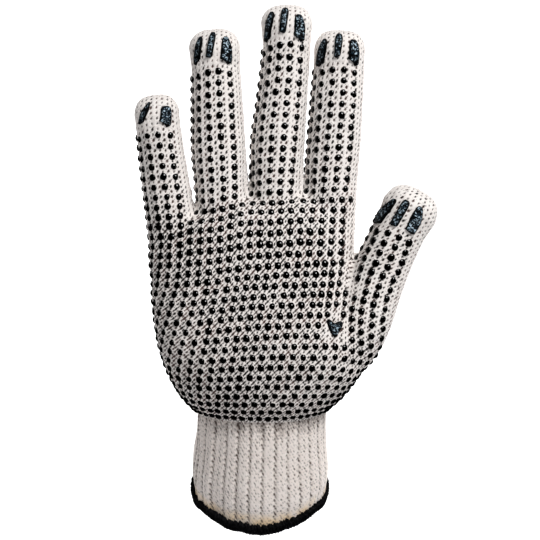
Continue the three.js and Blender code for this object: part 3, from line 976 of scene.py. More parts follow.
@dataclass(frozen=True)
class YarnFinish:
    """Undyed cotton yarn: pale strands, and painted shade with a little pink down in the stitches.

    ragged is how much the strands break up the painted shade's edge, and full is the depth at which the painted shade
    is whole.
    """
    name: str = "cotton_yarn"
    pale: Triple = (0.94, 0.90, 0.87)
    warm: Triple = (0.88, 0.82, 0.78)
    # valley and pink are the colours of the painted shade in the stitches' holes
    valley: Triple = (0.022, 0.019, 0.017)
    pink: Triple = (0.11, 0.065, 0.055)
    cloud: Pair = (55.0, 3.0)
    strand: float = 1500.0
    ragged: float = 1.6
    full: float = 0.47

    def shade(self, paint: Paint) -> bpy.types.NodeSocket | Triple:
        """The painted shade down in the stitches: near black, with pink patches."""
        return paint.blend(paint.ramp(paint.noise(140.0), 0.42, 0.62), self.valley, self.pink)

    def tinted(self, paint: Paint, base: bpy.types.NodeSocket) -> bpy.types.NodeSocket:
        """The strands' colour, from their plain one."""
        return base

    def material(self) -> bpy.types.Material:
        """Builds the material. It reads the points' valley, which is how much painted shade they get, and tone."""
        paint = Paint(self.name)
        valley, tone = paint.attribute("valley"), paint.attribute("tone")
        cloud, fluff, strands = paint.noise(*self.cloud), paint.noise(2600.0, 3.0), paint.noise(self.strand)
        base = paint.blend((cloud * 0.7 + tone * 0.5).clipped(), self.pale, self.warm)
        # how much painted shade each point gets, its edge broken up by the strands
        deep = (valley + (strands - 0.5) * (valley * self.ragged + 0.42)).clipped()
        colour = paint.blend(paint.ramp(deep, 0.12, self.full), self.tinted(paint, base), self.shade(paint))
        relief = paint.bump(fluff * 0.6 + strands * 0.4, 0.00012)
        return paint.finish(base_color=colour, roughness=0.9 - 0.06 * fluff, normal=relief, specular_ior_level=0.25,
                            sheen_weight=0.25, sheen_roughness=0.5)


@dataclass(frozen=True)
class RibFinish(YarnFinish):
    """The cuff's elastic yarn, with a hint of peach where the coloured thread runs next to the hem, and brownish
    painted shade in its stitches, its folds and under the palm.
    """
    name: str = "rib_yarn"
    pale: Triple = (0.95, 0.885, 0.84)
    warm: Triple = (0.89, 0.805, 0.75)
    # the painted shade's colour
    valley: Triple = (0.12, 0.09, 0.075)
    peach: Triple = (0.98, 0.76, 0.50)
    cloud: Pair = (60.0, 2.0)
    strand: float = 900.0
    ragged: float = 1.4
    full: float = 0.74

    def shade(self, paint: Paint) -> Triple:
        """The brownish painted shade down in the stitches, in the gather's folds and under the palm."""
        return self.valley

    def tinted(self, paint: Paint, base: bpy.types.NodeSocket) -> bpy.types.NodeSocket:
        """The strands' colour with the coloured thread. It reads the points' edge."""
        share = paint.attribute("edge") * paint.ramp(paint.noise(110.0), 0.36, 0.60) * 0.95
        return paint.blend(share.clipped(), base, self.peach)


@dataclass(frozen=True)
class HemFinish:
    """Black overlock thread, greyer on its strands except in the wrap's valleys, which stay darkest."""
    name: str = "overlock_thread"
    dark: Triple = (0.003, 0.003, 0.0035)
    greyer_strand: Triple = (0.012, 0.012, 0.014)

    def material(self) -> bpy.types.Material:
        """Builds the material. It reads the points' valley."""
        paint = Paint(self.name)
        fluff, strands = paint.noise(2400.0, 3.0), paint.noise(700.0, 2.0)
        # greyer strands, kept out of the wrap's valleys
        colour = paint.blend((paint.ramp(strands, 0.4, 0.7) * (1.0 - paint.attribute("valley"))).clipped(),
                             self.dark, self.greyer_strand)
        return paint.finish(base_color=colour, roughness=0.62 + 0.2 * fluff,
                            normal=paint.bump(fluff * 0.5 + strands * 0.5, 0.00015), specular_ior_level=0.07)


@dataclass(frozen=True)
class DotFinish:
    """Glossy black grip drops."""
    name: str = "grip_drops"
    dark: Triple = (0.0001, 0.0001, 0.0001)
    dusty: Triple = (0.0006, 0.0005, 0.0004)

    def material(self) -> bpy.types.Material:
        """Builds the material."""
        paint = Paint(self.name)
        smear, grain = paint.noise(500.0, 2.0), paint.noise(1500.0, 2.0)
        colour = paint.blend(paint.ramp(smear, 0.4, 0.7), self.dark, self.dusty)
        return paint.finish(base_color=colour, roughness=0.07 + 0.06 * smear,
                            normal=paint.bump(grain, 0.0001, 0.25), specular_ior_level=0.50)


@dataclass(frozen=True)
class StripeFinish:
    """Moulded black grip pads; their rough middle has a bluish tint with painted reflection, and painted highlight
    specks.
    """
    name: str = "grip_stripes"
    dark: Triple = (0.0010, 0.0013, 0.0018)
    blue: Triple = (0.008, 0.021, 0.034)
    # the colour of the painted highlight specks
    painted_glint: Triple = (0.56, 0.70, 0.80)

    def material(self) -> bpy.types.Material:
        """Builds the material. It reads how far each point is from the pad's edge, scaled by how strongly its painted
        reflection and painted highlight show, as inside.
        """
        paint = Paint(self.name)
        inside = paint.attribute("inside")
        crumb, speck = paint.noise(900.0, 3.0), paint.noise(1250.0, 2.0)
        # the rough middle: bluish tint and painted reflection
        field = paint.blend((paint.ramp(crumb, 0.46, 0.60) * inside).clipped(), self.dark, self.blue)
        # painted highlight specks
        colour = paint.blend((paint.ramp(speck, 0.50, 0.60) * paint.ramp(crumb, 0.43, 0.55) * inside * 0.85).clipped(),
                             field, self.painted_glint)
        return paint.finish(base_color=colour, roughness=0.30 + 0.35 * crumb * inside,
                            normal=paint.bump((crumb + speck * 0.5) * inside, 0.0006), specular_ior_level=0.08)


# Meshes

def mesh_object(name: str, points: np.ndarray, faces: list[tuple[int, ...]], attributes: dict[str, np.ndarray],
                material: bpy.types.Material, normals: np.ndarray | None = None) -> bpy.types.Object:
    """Makes a smooth-shaded object.

    Args:
        name: the object's name.
        points: its points in the tables' millimetres.
        faces: the points' numbers of each face.
        attributes: numbers kept at the points, by name.
        material: its finish.
        normals: outward directions at the points for the shading, or None for Blender's own.
    Returns:
        The object.
    """
    mesh = bpy.data.meshes.new(name)
    mesh.from_pydata(metres(points).tolist(), [], faces)
    mesh.polygons.foreach_set("use_smooth", np.ones(len(mesh.polygons), bool))
    for key, values in attributes.items():
        layer = mesh.attributes.new(key, "FLOAT", "POINT")
        layer.data.foreach_set("value", np.asarray(values, np.float32))
    mesh.materials.append(material)
    mesh.update()
    if normals is not None:
        mesh.normals_split_custom_set_from_vertices(normals.tolist())
    return add_object(name, mesh)


def point_normals(points: np.ndarray, quads: np.ndarray) -> np.ndarray:
    """Outward directions at the points of a mesh of four-sided faces."""
    flat = np.cross(points[quads[:, 2]] - points[quads[:, 0]], points[quads[:, 3]] - points[quads[:, 1]])
    total = np.zeros_like(points)
    for corner in range(4):
        np.add.at(total, quads[:, corner], flat)
    return unit(total)


def place_piece(piece: bpy.types.Object, replaces: tuple[str, ...] = ()) -> None:
    """Tells the frame where a piece belongs, and reports it.

    Args:
        piece: the finished object.
        replaces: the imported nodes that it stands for.
    """
    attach(piece, "root")
    if replaces:
        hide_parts(*replaces)
    LOG.info("%s: %d faces", piece.name, len(piece.data.polygons))


@dataclass
class HandKnit:
    """The knitted hand and fingers: every stitch of the net pressed into the skin."""
    net: StitchNet
    relief: float = 0.75
    pit_long: float = 0.22
    pit_wide: float = 0.15
    slant: float = 80.0
    wall: float = 1.7
    waviness: float = 0.22

    def slot(self, du: np.ndarray, dv: np.ndarray, size: float = 1.0) -> np.ndarray:
        """A slanting hole between two strands.

        Args:
            du: how far across from its middle, in wales.
            dv: how far along from its middle, in courses.
            size: a factor on its length and width.
        Returns:
            The depth, from 0 to 1.
        """
        angle = math.radians(self.slant)
        long = (du * math.cos(angle) + dv * math.sin(angle)) / (self.pit_long * size)
        wide = (-du * math.sin(angle) + dv * math.cos(angle)) / (self.pit_wide * size)
        return np.exp(-(long ** 2) - (wide ** 2))

    def strengths(self, rows: int, columns: int, front: bool, finger: bool,
                  rng: np.random.Generator) -> tuple[np.ndarray, ...]:
        """How strongly the holes at the corners and inside the stitches show.

        Args:
            rows: the block's courses.
            columns: the block's wales.
            front: whether the block carries drops, next to which the strands lie close.
            finger: whether it is a finger's, which is knitted closer.
            rng: the source of the irregularity.
        Returns:
            The strengths at the corners, and those inside the stitches.
        """
        corner = rng.uniform(0.55, 1.1, (rows + 1, columns + 1))
        inside = rng.uniform(0.25, 1.0, (rows, columns)) * (0.35 if finger else 1.0)
        if front:
            odd_row, odd_column = np.meshgrid(np.arange(rows + 1) % 2, np.arange(columns + 1) % 2, indexing="ij")
            between_drops, beside_drop, under_drop = 1.25, 0.8, 0.65
            corner *= np.where(odd_column == 1, np.where(odd_row == 0, between_drops, beside_drop), under_drop)
        corner[:, -1] = corner[:, 0]
        return corner, inside

    def pattern(self, u: np.ndarray, v: np.ndarray, corner: np.ndarray, inside: np.ndarray,
                front: bool) -> np.ndarray:
        """How deep a stitch lies, from 0 on a strand to 1 in the hole between four strands.

        Args:
            u: place across, in wales.
            v: place along, in courses.
            corner: the strength of the holes at the corners.
            inside: the strength of the holes inside the stitches.
            front: whether the block carries drops.
        Returns:
            The depth.
        """
        rows, columns = inside.shape
        r, c = np.minimum(v.astype(int), rows - 1), np.minimum(u.astype(int), columns - 1)
        at_corner = corner[np.floor(v + 0.5).astype(int), np.floor(u + 0.5).astype(int)]
        main = self.slot(wrapped(u), wrapped(v)) * at_corner
        across, along = (np.where(c % 2 == 1, 0.35, 0.65), np.where(r % 2 == 0, 0.4, 0.6)) if front else (0.5, 0.5)
        second = self.slot(u - c - across, v - r - along, 0.85) * inside[r, c]
        groove = 0.5 + 0.5 * np.cos(2 * math.pi * (u - v))
        ply = 0.5 + 0.5 * np.cos(4 * math.pi * (u - v) + 1.2)
        return np.clip(1.4 * main + 1.15 * second + 0.06 * groove + 0.05 * ply, 0.0, 1.3)

    def draw(self) -> tuple[np.ndarray, ...]:
        """Draws all stitches as one fine skin.

        Returns:
            Points, outward directions, depth, tone, four-sided faces, each face's piece, how far each point belongs
            to a finger, and that finger's number or -1.
        """
        keys, points, normals, depth, tone, shares, owners = [], [], [], [], [], [], []
        faces, pieces, first = [], [], 0
        net = self.net
        own = np.array([share for _, share in net.owners])[:, None]
        rng = np.random.default_rng(SEED)
        for block in net.blocks.values():
            ids = block.ids
            rows, columns = ids.shape[0] - 1, ids.shape[1] - 1
            su, sv = block.across, block.along
            i, j = np.meshgrid(np.arange(rows * sv + 1), np.arange(columns * su + 1), indexing="ij")
            r, c = np.minimum(i // sv, rows - 1), np.minimum(j // su, columns - 1)
            t, s = (i / sv - r)[..., None], (j / su - c)[..., None]
            a, b, d, e = ids[r, c], ids[r, c + 1], ids[r + 1, c], ids[r + 1, c + 1]

            def between(values: np.ndarray) -> np.ndarray:
                """Values at the fine points, from those at the corners."""
                mixed = (values[a] * (1 - t) * (1 - s) + values[b] * (1 - t) * s + values[d] * t * (1 - s)
                         + values[e] * t * s)
                return mixed.reshape(-1, values.shape[1])
            points.append(between(net.net))
            normals.append(between(net.normals))
            front = not block.name.endswith("_tip")
            holes = self.strengths(rows, columns, front, bool(block.owner), rng)
            depth.append(self.pattern(j / su, i / sv, *holes, front).ravel())
            tone.append(rng.uniform(0.0, 1.0, (rows, columns))[r, c].ravel())
            shares.append(between(own).ravel() if block.owner else np.zeros(i.size))
            owners.append(np.full(i.size, OWNERS.index(block.owner) if block.owner else -1))
            keys.append(self.point_keys(block, i, j, first))
            faces.append(grid_quads(np.arange(i.size).reshape(i.shape) + first))
            pieces.append(np.repeat(np.repeat(block.pieces, sv, axis=0), su, axis=1).ravel())
            first += i.size
        self.keys, inverse = np.unique(np.concatenate(keys), return_inverse=True)
        count = np.bincount(inverse).astype(float)

        def merged(values: list[np.ndarray]) -> np.ndarray:
            """The mean of the values of points that are one."""
            flat = np.concatenate(values)
            if flat.ndim == 1:
                return np.bincount(inverse, flat) / count
            return np.stack([np.bincount(inverse, flat[:, k]) / count for k in range(3)], axis=1)
        owner = np.full(len(self.keys), -1)
        np.maximum.at(owner, inverse, np.concatenate(owners))
        return (merged(points), unit(merged(normals)), merged(depth), merged(tone), inverse[np.concatenate(faces)],
                np.concatenate(pieces), merged(shares), owner)

    def point_keys(self, block: Block, i: np.ndarray, j: np.ndarray, first: int) -> np.ndarray:
        """A number for each fine point of a block, the same as in other blocks that share the point.

        Args:
            block: the block.
            i: the fine rows of its points.
            j: their fine columns.
            first: how many fine points the blocks before it have.
        Returns:
            The numbers.
        """
        ids, su, sv = block.ids, block.across, block.along
        key = np.arange(i.size, dtype=np.int64).reshape(i.shape) + first + (1 << 50)
        on_row, on_column = i % sv == 0, j % su == 0
        row, column = i // sv, j // su
        corner = on_row & on_column
        key[corner] = ids[row[corner], column[corner]]
        for edge, step, count, up, right in ((on_row & ~on_column, j % su, su, 0, 1),
                                             (on_column & ~on_row, i % sv, sv, 1, 0)):
            start, end = ids[row[edge], column[edge]], ids[row[edge] + up, column[edge] + right]
            key[edge] = self.edge_key(start, end, step[edge], count)
        return key.ravel()

    @staticmethod
    def gap_shade_strength(points: np.ndarray) -> np.ndarray:
        """How dark the painted shade in the gaps between the strands is: strong on the stretched palm, weaker up the
        dense fingers and near the tips, and on the palm weaker to the right, towards the key light, and stronger to the
        left, away from it.

        Args:
            points: places on the skin.
        Returns:
            A factor for each.
        """
        x, z = points[:, 0], points[:, 2]
        up = smooth_step(110.0, 145.0, z) * 0.20 + smooth_step(165.0, 215.0, z) * 0.10
        # right lightens the painted shade on the palm's side towards the key light and darkens it on the far side
        right = smooth_step(5.0, 55.0, x) * 0.19 - (1 - smooth_step(-45.0, 0.0, x)) * 0.12
        tips = [(-46.5, 181.0), (-20.5, 210.0), (13.0, 221.0), (37.0, 210.0), (72.0, 138.0)]
        near = np.min([np.hypot(x - a, z - b) for a, b in tips], axis=0)
        return 1.12 - up - right * (1 - smooth_step(100.0, 140.0, z)) - 0.15 * (1 - smooth_step(10.0, 26.0, near))

    def edge_key(self, p: np.ndarray, q: np.ndarray, step: np.ndarray, count: int) -> np.ndarray:
        """One number for a point on an edge of the net, the same from both sides.

        Args:
            p: the edge's first corner.
            q: its other corner.
            step: how far from the first corner.
            count: the steps of the whole edge.
        Returns:
            The numbers.
        """
        total = len(self.net.net)
        low, high = np.minimum(p, q), np.maximum(p, q)
        from_low = np.where(p < q, step, count - step)
        return (low.astype(np.int64) * total + high) * 8 + from_low + total

    def build(self, yarn: bpy.types.Material) -> None:
        """Builds every knitted piece of the hand.

        Args:
            yarn: the finish.
        """
        points, normals, depth, tone, quads, names, shares, owners = self.draw()
        form = self.net.form
        for k in range(len(points)):
            owner = OWNERS[owners[k]] if owners[k] >= 0 and shares[k] > 0 else None
            points[k] = form.nearest(points[k], owner, shares[k])
        wave = (soft_noise(points, 13.0, 3) * self.waviness + soft_noise(points, 6.0, 4) * self.waviness * 0.4
                + soft_noise(points, 2.2, 5) * 0.16)
        height = -self.relief * depth + wave - 0.05
        skin = points + normals * height[:, None]
        shading = point_normals(skin, quads)
        # painted shade in the stitches' holes, kept as the points' valley
        shade = np.clip(depth * self.gap_shade_strength(points), 0.0, 1.0)
        lining = self.net.net - self.net.normals * self.wall
        for piece in Piece:
            on_palm = piece in (Piece.PALM_FRONT, Piece.PALM_BACK)
            node = "palm_and_back" if on_palm else piece.value.removesuffix("_knit")
            mine = quads[names == piece.value]
            used, local = np.unique(mine, return_inverse=True)
            faces = [tuple(f) for f in local.reshape(-1, 4).tolist()]
            inner_faces, sides, steps = [], {}, {}
            for block in self.net.blocks.values():
                ids = block.ids
                for r, c in zip(*np.nonzero(block.pieces == piece.value)):
                    ring = [int(ids[r, c]), int(ids[r, c + 1]), int(ids[r + 1, c + 1]), int(ids[r + 1, c])]
                    inner_faces.append(ring[::-1])
                    for k, (p, q) in enumerate(zip(ring, ring[1:] + ring[:1])):
                        edge = (min(p, q), max(p, q))
                        if edge in sides:
                            sides[edge] = None
                        else:
                            sides[edge] = (p, q)
                            steps[edge] = block.across if k % 2 == 0 else block.along
            inner_used = sorted({k for face in inner_faces for k in face})
            inner_at = {k: len(used) + n for n, k in enumerate(inner_used)}
            faces += [tuple(inner_at[k] for k in face) for face in inner_faces]
            for edge, ends in sides.items():
                if ends is None:
                    continue
                p, q = ends
                count = steps[edge]
                step = np.arange(1, count)
                between = self.edge_key(np.full(count - 1, p), np.full(count - 1, q), step, count)
                chain = np.concatenate([[p], between, [q]])
                outer = np.searchsorted(used, np.searchsorted(self.keys, chain))
                faces.append(tuple(int(k) for k in outer[::-1]) + (inner_at[p], inner_at[q]))
            pad = np.zeros(len(inner_used))
            shade_normals = np.vstack([shading[used], np.zeros((len(inner_used), 3))])
            # the lining inside the glove gets a middle painted shade
            made = mesh_object(piece.value, np.vstack([skin[used], lining[inner_used]]), faces,
                               {"valley": np.concatenate([shade[used], pad + 0.3]),
                                "tone": np.concatenate([tone[used], pad + 0.5])}, yarn, shade_normals)
            place_piece(made, (node,))


RIB_HOLES = ((0.5, 0.22, 1.0), (2.5, 0.18, 0.8), (1.5, 0.12, 0.45), (3.5, -0.12, 0.45))  # column, shift, strength


@dataclass
class RibCuff:
    """The ribbed cuff above the hem."""
    ribs: int = 29
    wales_per_rib: int = 4
    courses: int = 37
    across: int = 6
    along: int = 3
    start: float = -0.06
    end: float = 0.93
    wall: float = 1.7
    rib_depth: float = 0.5
    relief: float = 0.5
    gather: float = 1.5
    belly: float = 0.7

    def row(self, up: float, count: int, grow: float = 0.0) -> np.ndarray:
        """An even ring of the cuff, from the palm side's middle, at a share of the way up from the hem."""
        numbers = CUFF.section(self.start + (self.end - self.start) * (1 - up))
        numbers[3:5] += grow
        return leaning_ring(numbers, 2.0, count)

    def build(self, rib_yarn: bpy.types.Material) -> None:
        """Builds the ribbed tube with its stitches.

        Args:
            rib_yarn: the finish.
        """
        wales = self.ribs * self.wales_per_rib
        columns, rows = wales * self.across, self.courses * self.along
        grid = np.array([self.row(r / rows, columns) for r in range(rows + 1)])
        out = unit(grid - grid.mean(axis=1, keepdims=True))
        v, u = np.meshgrid(np.arange(rows + 1) / self.along, np.arange(columns) / self.across, indexing="ij")
        rng = np.random.default_rng(SEED + 1)
        phase = u % self.wales_per_rib
        away = np.abs(phase - 0.5)
        away = np.minimum(away, self.wales_per_rib - away)
        groove = np.exp(-(away / 0.55) ** 2)
        depth = np.exp(-(wrapped(u) / 0.15) ** 2) * 0.08 + groove * 0.20
        course, rib = np.floor(v + 0.5).astype(int), (u // self.wales_per_rib).astype(int)
        dv = wrapped(v)
        for column, sideways, strength in RIB_HOLES:
            strengths = rng.uniform(0.35, 1.15, (self.courses + 2, self.ribs + 1)) * strength
            du = phase - column - sideways * np.where(course % 2 == 0, 1.0, -1.0)
            slot = np.exp(-((du + 0.5 * dv) / 0.22) ** 2 - (dv / 0.42) ** 2)
            depth = depth + slot * strengths[course, rib]
        depth = np.clip(depth, 0.0, 1.1)
        flat = grid.reshape(-1, 3)
        wave = soft_noise(flat * np.array([1.0, 0.6, 0.25]), 6.0, 7).reshape(v.shape)
        near_palm = smooth_step(self.courses * 0.70, self.courses * 0.97, v)
        middle_row = np.broadcast_to(grid[rows // 2], grid.shape) + grid * np.array([0.0, 0.0, 0.06])
        fold = soft_noise(middle_row.reshape(-1, 3) * np.array([1.0, 1.0, 0.3]), 3.2, 8).reshape(v.shape)
        tucked = 1.0 - smooth_step(1.4, 6.5, v)
        slack = np.maximum(near_palm, 0.9 * smooth_step(4.0, 24.0, -grid[..., 0]))
        height = (-self.rib_depth * groove * (1 - 0.75 * tucked) - self.relief * depth * 0.8 + 0.55 * wave
                  + self.gather * slack * fold
                  - 0.25 * near_palm - 0.5 * tucked
                  + self.belly * (1 - tucked) * np.exp(-((v / self.courses - 0.26) / 0.2) ** 2))
        skin = grid + out * height[..., None]
        skin[..., 2] -= mouth_sag(grid[..., 0]) * (1 - v / self.courses) ** 1.5
        number = np.arange((rows + 1) * columns).reshape(rows + 1, columns)
        quads = grid_quads(np.hstack([number, number[:, :1]]))
        shading = point_normals(skin.reshape(-1, 3), quads)
        inner = np.array([self.row(r / self.courses, wales, -self.wall - self.rib_depth * 0.6)
                          for r in range(self.courses + 1)])
        lining = np.arange(inner.shape[0] * wales).reshape(-1, wales) + number.size
        inner_quads = grid_quads(np.hstack([lining, lining[:, :1]]), True)
        faces = [tuple(f) for f in np.vstack([quads, inner_quads]).tolist()]
        for top in (False, True):
            outer_row, inner_row = (number[-1], lining[-1]) if top else (number[0], lining[0])
            for w in range(wales):
                chain = [int(outer_row[(w * self.across + k) % columns]) for k in range(self.across + 1)]
                p, q = int(inner_row[w]), int(inner_row[(w + 1) % wales])
                faces.append(tuple(chain[::-1]) + (p, q) if not top else tuple(chain) + (q, p))
        pad = np.zeros(inner.shape[0] * wales)
        edge = 1.0 - smooth_step(1.2, 6.0, v)
        tone = rng.uniform(0, 1, (self.courses + 1, wales + 1))[np.minimum(v.astype(int), self.courses),
                                                                np.minimum(u.astype(int), wales)]
        # painted shade in the holes and rib grooves, a painted shadow under the palm's overhang, and painted shade in
        # the valleys of the gather's folds
        valley = np.clip(depth + 0.20 * near_palm + 0.45 * slack * np.clip(-fold, 0, 1), 0, 1)
        # the lining inside the cuff gets a middle painted shade
        made = mesh_object("rib_cuff_knit", np.vstack([skin.reshape(-1, 3), inner.reshape(-1, 3)]), faces,
                           {"valley": np.concatenate([valley.ravel(), pad + 0.3]),
                            "tone": np.concatenate([tone.ravel(), pad + 0.5]),
                            "edge": np.concatenate([edge.ravel(), pad])}, rib_yarn,
                           np.vstack([shading, np.zeros((len(pad), 3))]))
        place_piece(made, ("rib_cuff",))


@dataclass
class OverlockHem:
    """The black thread wrapped over the mouth's edge, with its zigzag upper border."""
    teeth: int = 68
    per_tooth: int = 10
    ring_points: int = 26
    height: float = 6.3
    thickness: float = 3.6
    wrap_depth: float = 0.22
    tooth: float = 1.05
    inset: float = 1.35

    def build(self, thread: bpy.types.Material) -> None:
        """Builds the wrapped band.

        Args:
            thread: the finish.
        """
        count = self.teeth * self.per_tooth
        length = CUFF.length()
        rng = np.random.default_rng(SEED + 2)
        jitter = rng.uniform(0.2, 1.6, self.teeth)
        u = np.arange(count) / self.per_tooth
        u = u + 0.22 * np.interp(u, np.arange(self.teeth + 1), np.append(jitter, jitter[0]))
        lumps = np.interp(u % self.teeth, np.arange(self.teeth * 2 + 1) / 2,
                          np.resize(rng.uniform(-1.0, 1.0, self.teeth * 2), self.teeth * 2 + 1))
        fine = (1 - np.abs(wrapped(2 * u + 0.3)) * 4) * jitter[np.round(u * 2).astype(int) % self.teeth]
        zigzag = ((1 - np.abs(wrapped(u)) * 4) * jitter[np.round(u).astype(int) % self.teeth] * 0.5
                  + fine * 0.5 + lumps * 0.3) * self.tooth
        angle = np.arange(self.ring_points) / self.ring_points * 2 * math.pi
        points = np.zeros((self.ring_points, count, 3))
        valley = np.zeros((self.ring_points, count))
        mouth = leaning_ring(CUFF.section(1.0), 2.0, count)
        above = leaning_ring(CUFF.section(1.0 - 1.0 / length), 2.0, count)
        up = unit((above - mouth).mean(axis=0))
        out = unit(mouth - mouth.mean(axis=0))
        flank = smooth_step(18.0, 31.0, np.abs(mouth[:, 0]))
        narrow = 1.0 - 0.20 * flank
        for k, a in enumerate(angle):
            rise = self.height / 2 * (1 + signed_power(math.cos(a), 0.7))
            side = signed_power(math.sin(a), 0.6)
            upper = smooth_step(0.45, 1.0, rise / self.height)
            wrap = np.cos(2 * math.pi * (u * 2.0 + rise / self.height * 0.9 * (1 if side > 0 else -1)))
            lift = self.wrap_depth * wrap * (0.35 + 0.65 * abs(side))
            thick = self.thickness / 2 * (1.0 - 0.18 * (rise / self.height))
            outward = -self.inset + side * thick + lift + (2.1 - 0.9 * flank) * upper
            ragged = zigzag * upper + lumps * 0.28 * (1 - upper)
            points[k] = mouth + up * ((rise + ragged) * narrow)[:, None] + out * (outward[:, None])
            points[k, :, 2] -= mouth_sag(mouth[:, 0])
            valley[k] = 0.5 - 0.5 * wrap
        number = np.arange(self.ring_points * count).reshape(self.ring_points, count)
        quads = grid_quads(np.pad(number, (0, 1), mode="wrap"), True)
        made = mesh_object("overlock_hem_thread", points.reshape(-1, 3), [tuple(f) for f in quads.tolist()],
                           {"valley": valley.ravel()}, thread)
        place_piece(made, ("overlock_hem",))


# The palm's blocks with drops: their courses, first wale and last wale
PALM_DROPS = (("lower_palm", StitchNet.LOWER_COURSES, -4, 56), ("upper_palm", StitchNet.UPPER_COURSES, -4, 39),
              ("knuckles", StitchNet.KNUCKLE_COURSES, 0, 33))


@dataclass
class GripDrops:
    """The printed drops of the palm side, one small dome each, in joined pieces."""
    net: StitchNet
    heart: Pair = (33.9, 74.9)
    width: float = 1.42
    length: float = 1.52
    height: float = 0.85
    sides: int = 14
    profile: tuple[Pair, ...] = ((1.0, -0.55), (1.03, 0.08), (0.90, 0.46), (0.62, 0.74), (0.32, 0.96))
    sunk: float = 0.1

    def drop(self, point: np.ndarray, normal: np.ndarray, forward: np.ndarray,
             rng: np.random.Generator) -> tuple[np.ndarray, list[tuple[int, ...]]]:
        """One irregular drop.

        Args:
            point: the place on the skin.
            normal: the outward direction.
            forward: the direction along the row.
            rng: the source of its irregularity.
        Returns:
            Its points and faces.
        """
        upward = np.cross(normal, forward)
        turn = 6.283
        angle = np.arange(self.sides) / self.sides * 2 * math.pi
        reach = 1 + 0.05 * rng.standard_normal(self.sides)
        for _ in range(int(rng.integers(0, 3))):
            bump = rng.uniform(0.08, 0.28)
            reach += bump * np.exp(-((wrapped((angle - rng.uniform(0, turn)) / turn)) / 0.045) ** 2)
        on_palm = smooth_step(80.0, 118.0, point[2]) - smooth_step(118.0, 140.0, point[2])
        size = rng.uniform(0.92, 1.08) * (1.0 + 0.12 * float(on_palm))
        rings = []
        shift = rng.uniform(-0.12, 0.12, 2)
        for share, rise in self.profile:
            spread = 1 + (reach - 1) * (1.0 if rise < 0.3 else 0.45)
            x = np.cos(angle) * self.width * size * share * spread + shift[0]
            y = np.sin(angle) * self.length * size * share * spread + shift[1]
            rings.append(point + x[:, None] * forward + y[:, None] * upward
                         + normal * (rise * self.height - self.sunk))
        crown = point + normal * (self.height * 1.03 - self.sunk) + shift[0] * forward + shift[1] * upward
        points = np.vstack([*rings, crown[None]])
        top = len(points) - 1
        last = top - self.sides
        faces = grid_faces(len(rings), self.sides, True, False)
        faces += [(last + s, last + (s + 1) % self.sides, top) for s in range(self.sides)]
        return points, faces

    def joined(self, name: str, places: list[tuple[str, float, float]], seed: int,
               rubber: bpy.types.Material) -> None:
        """One object of many drops.

        Args:
            name: the object's name.
            places: block, row and column of each drop.
            seed: of the irregularity.
            rubber: the finish.
        """
        rng = np.random.default_rng(seed)
        points, faces, first = [], [], 0
        for block, row, column in places:
            row += rng.uniform(-0.08, 0.08)
            column += rng.uniform(-0.08, 0.08)
            spot, normal, forward = self.net.place(block, max(row, 0.0), column)
            slide = 0.0
            if block == "lower_palm":
                slide = -0.9 * float(smooth_step(58.0, 84.0, spot[2]) * smooth_step(22.0, 38.0, spot[0]))
            elif block == "upper_palm":
                slide = 0.6 * float(smooth_step(22.0, 36.0, spot[0]))
            elif block == "thumb":
                slide = -0.11 * row
            if slide:
                spot, normal, forward = self.net.place(block, max(row, 0.0), column + slide)
            aside = spot[[0, 2]] - np.array(self.heart)
            if self.bare(block, column, aside):
                continue
            drop_points, drop_faces = self.drop(spot, normal, forward, rng)
            points.append(drop_points)
            faces += [tuple(first + k for k in face) for face in drop_faces]
            first += len(drop_points)
        made = mesh_object(name, np.vstack(points), faces, {}, rubber)
        place_piece(made)

    def bare(self, block: str, column: float, aside: np.ndarray) -> bool:
        """Whether the print leaves this place free: round the heart and along the thumb's outer side."""
        if (aside[0] / 6.3) ** 2 + (aside[1] / 6.6) ** 2 < 1:
            return True
        if block == "lower_palm" and aside[1] > 17.5 and abs(aside[0] - 7.6) < 2.6:
            return True
        return block == "lower_palm" and column > 51 + 2 * (aside[1] < -12)

    def build(self, rubber: bpy.types.Material) -> None:
        """Builds the drops of the palm and of every finger.

        Args:
            rubber: the finish.
        """
        palm = [(block, row, column) for block, courses, first, last in PALM_DROPS
                for row in range(1, courses, 2) for column in range(first, last, 2)]
        self.joined("palm_drops", palm, SEED + 3, rubber)
        for n, form in enumerate((*FOUR_FINGERS, THUMB)):
            places = [(form.name, row, column) for row in range(1, form.last_dot + 1, 2)
                      for column in form.dot_columns]
            self.joined(form.name + "_drops", places, SEED + 4 + n, rubber)


@dataclass(frozen=True)
class Stripe:
    """One grip stripe: ends as (across from the finger's axis, below its tip), three widths and the foot's slant."""
    name: str
    top: Pair
    foot: Pair
    widths: Triple
    slant: float


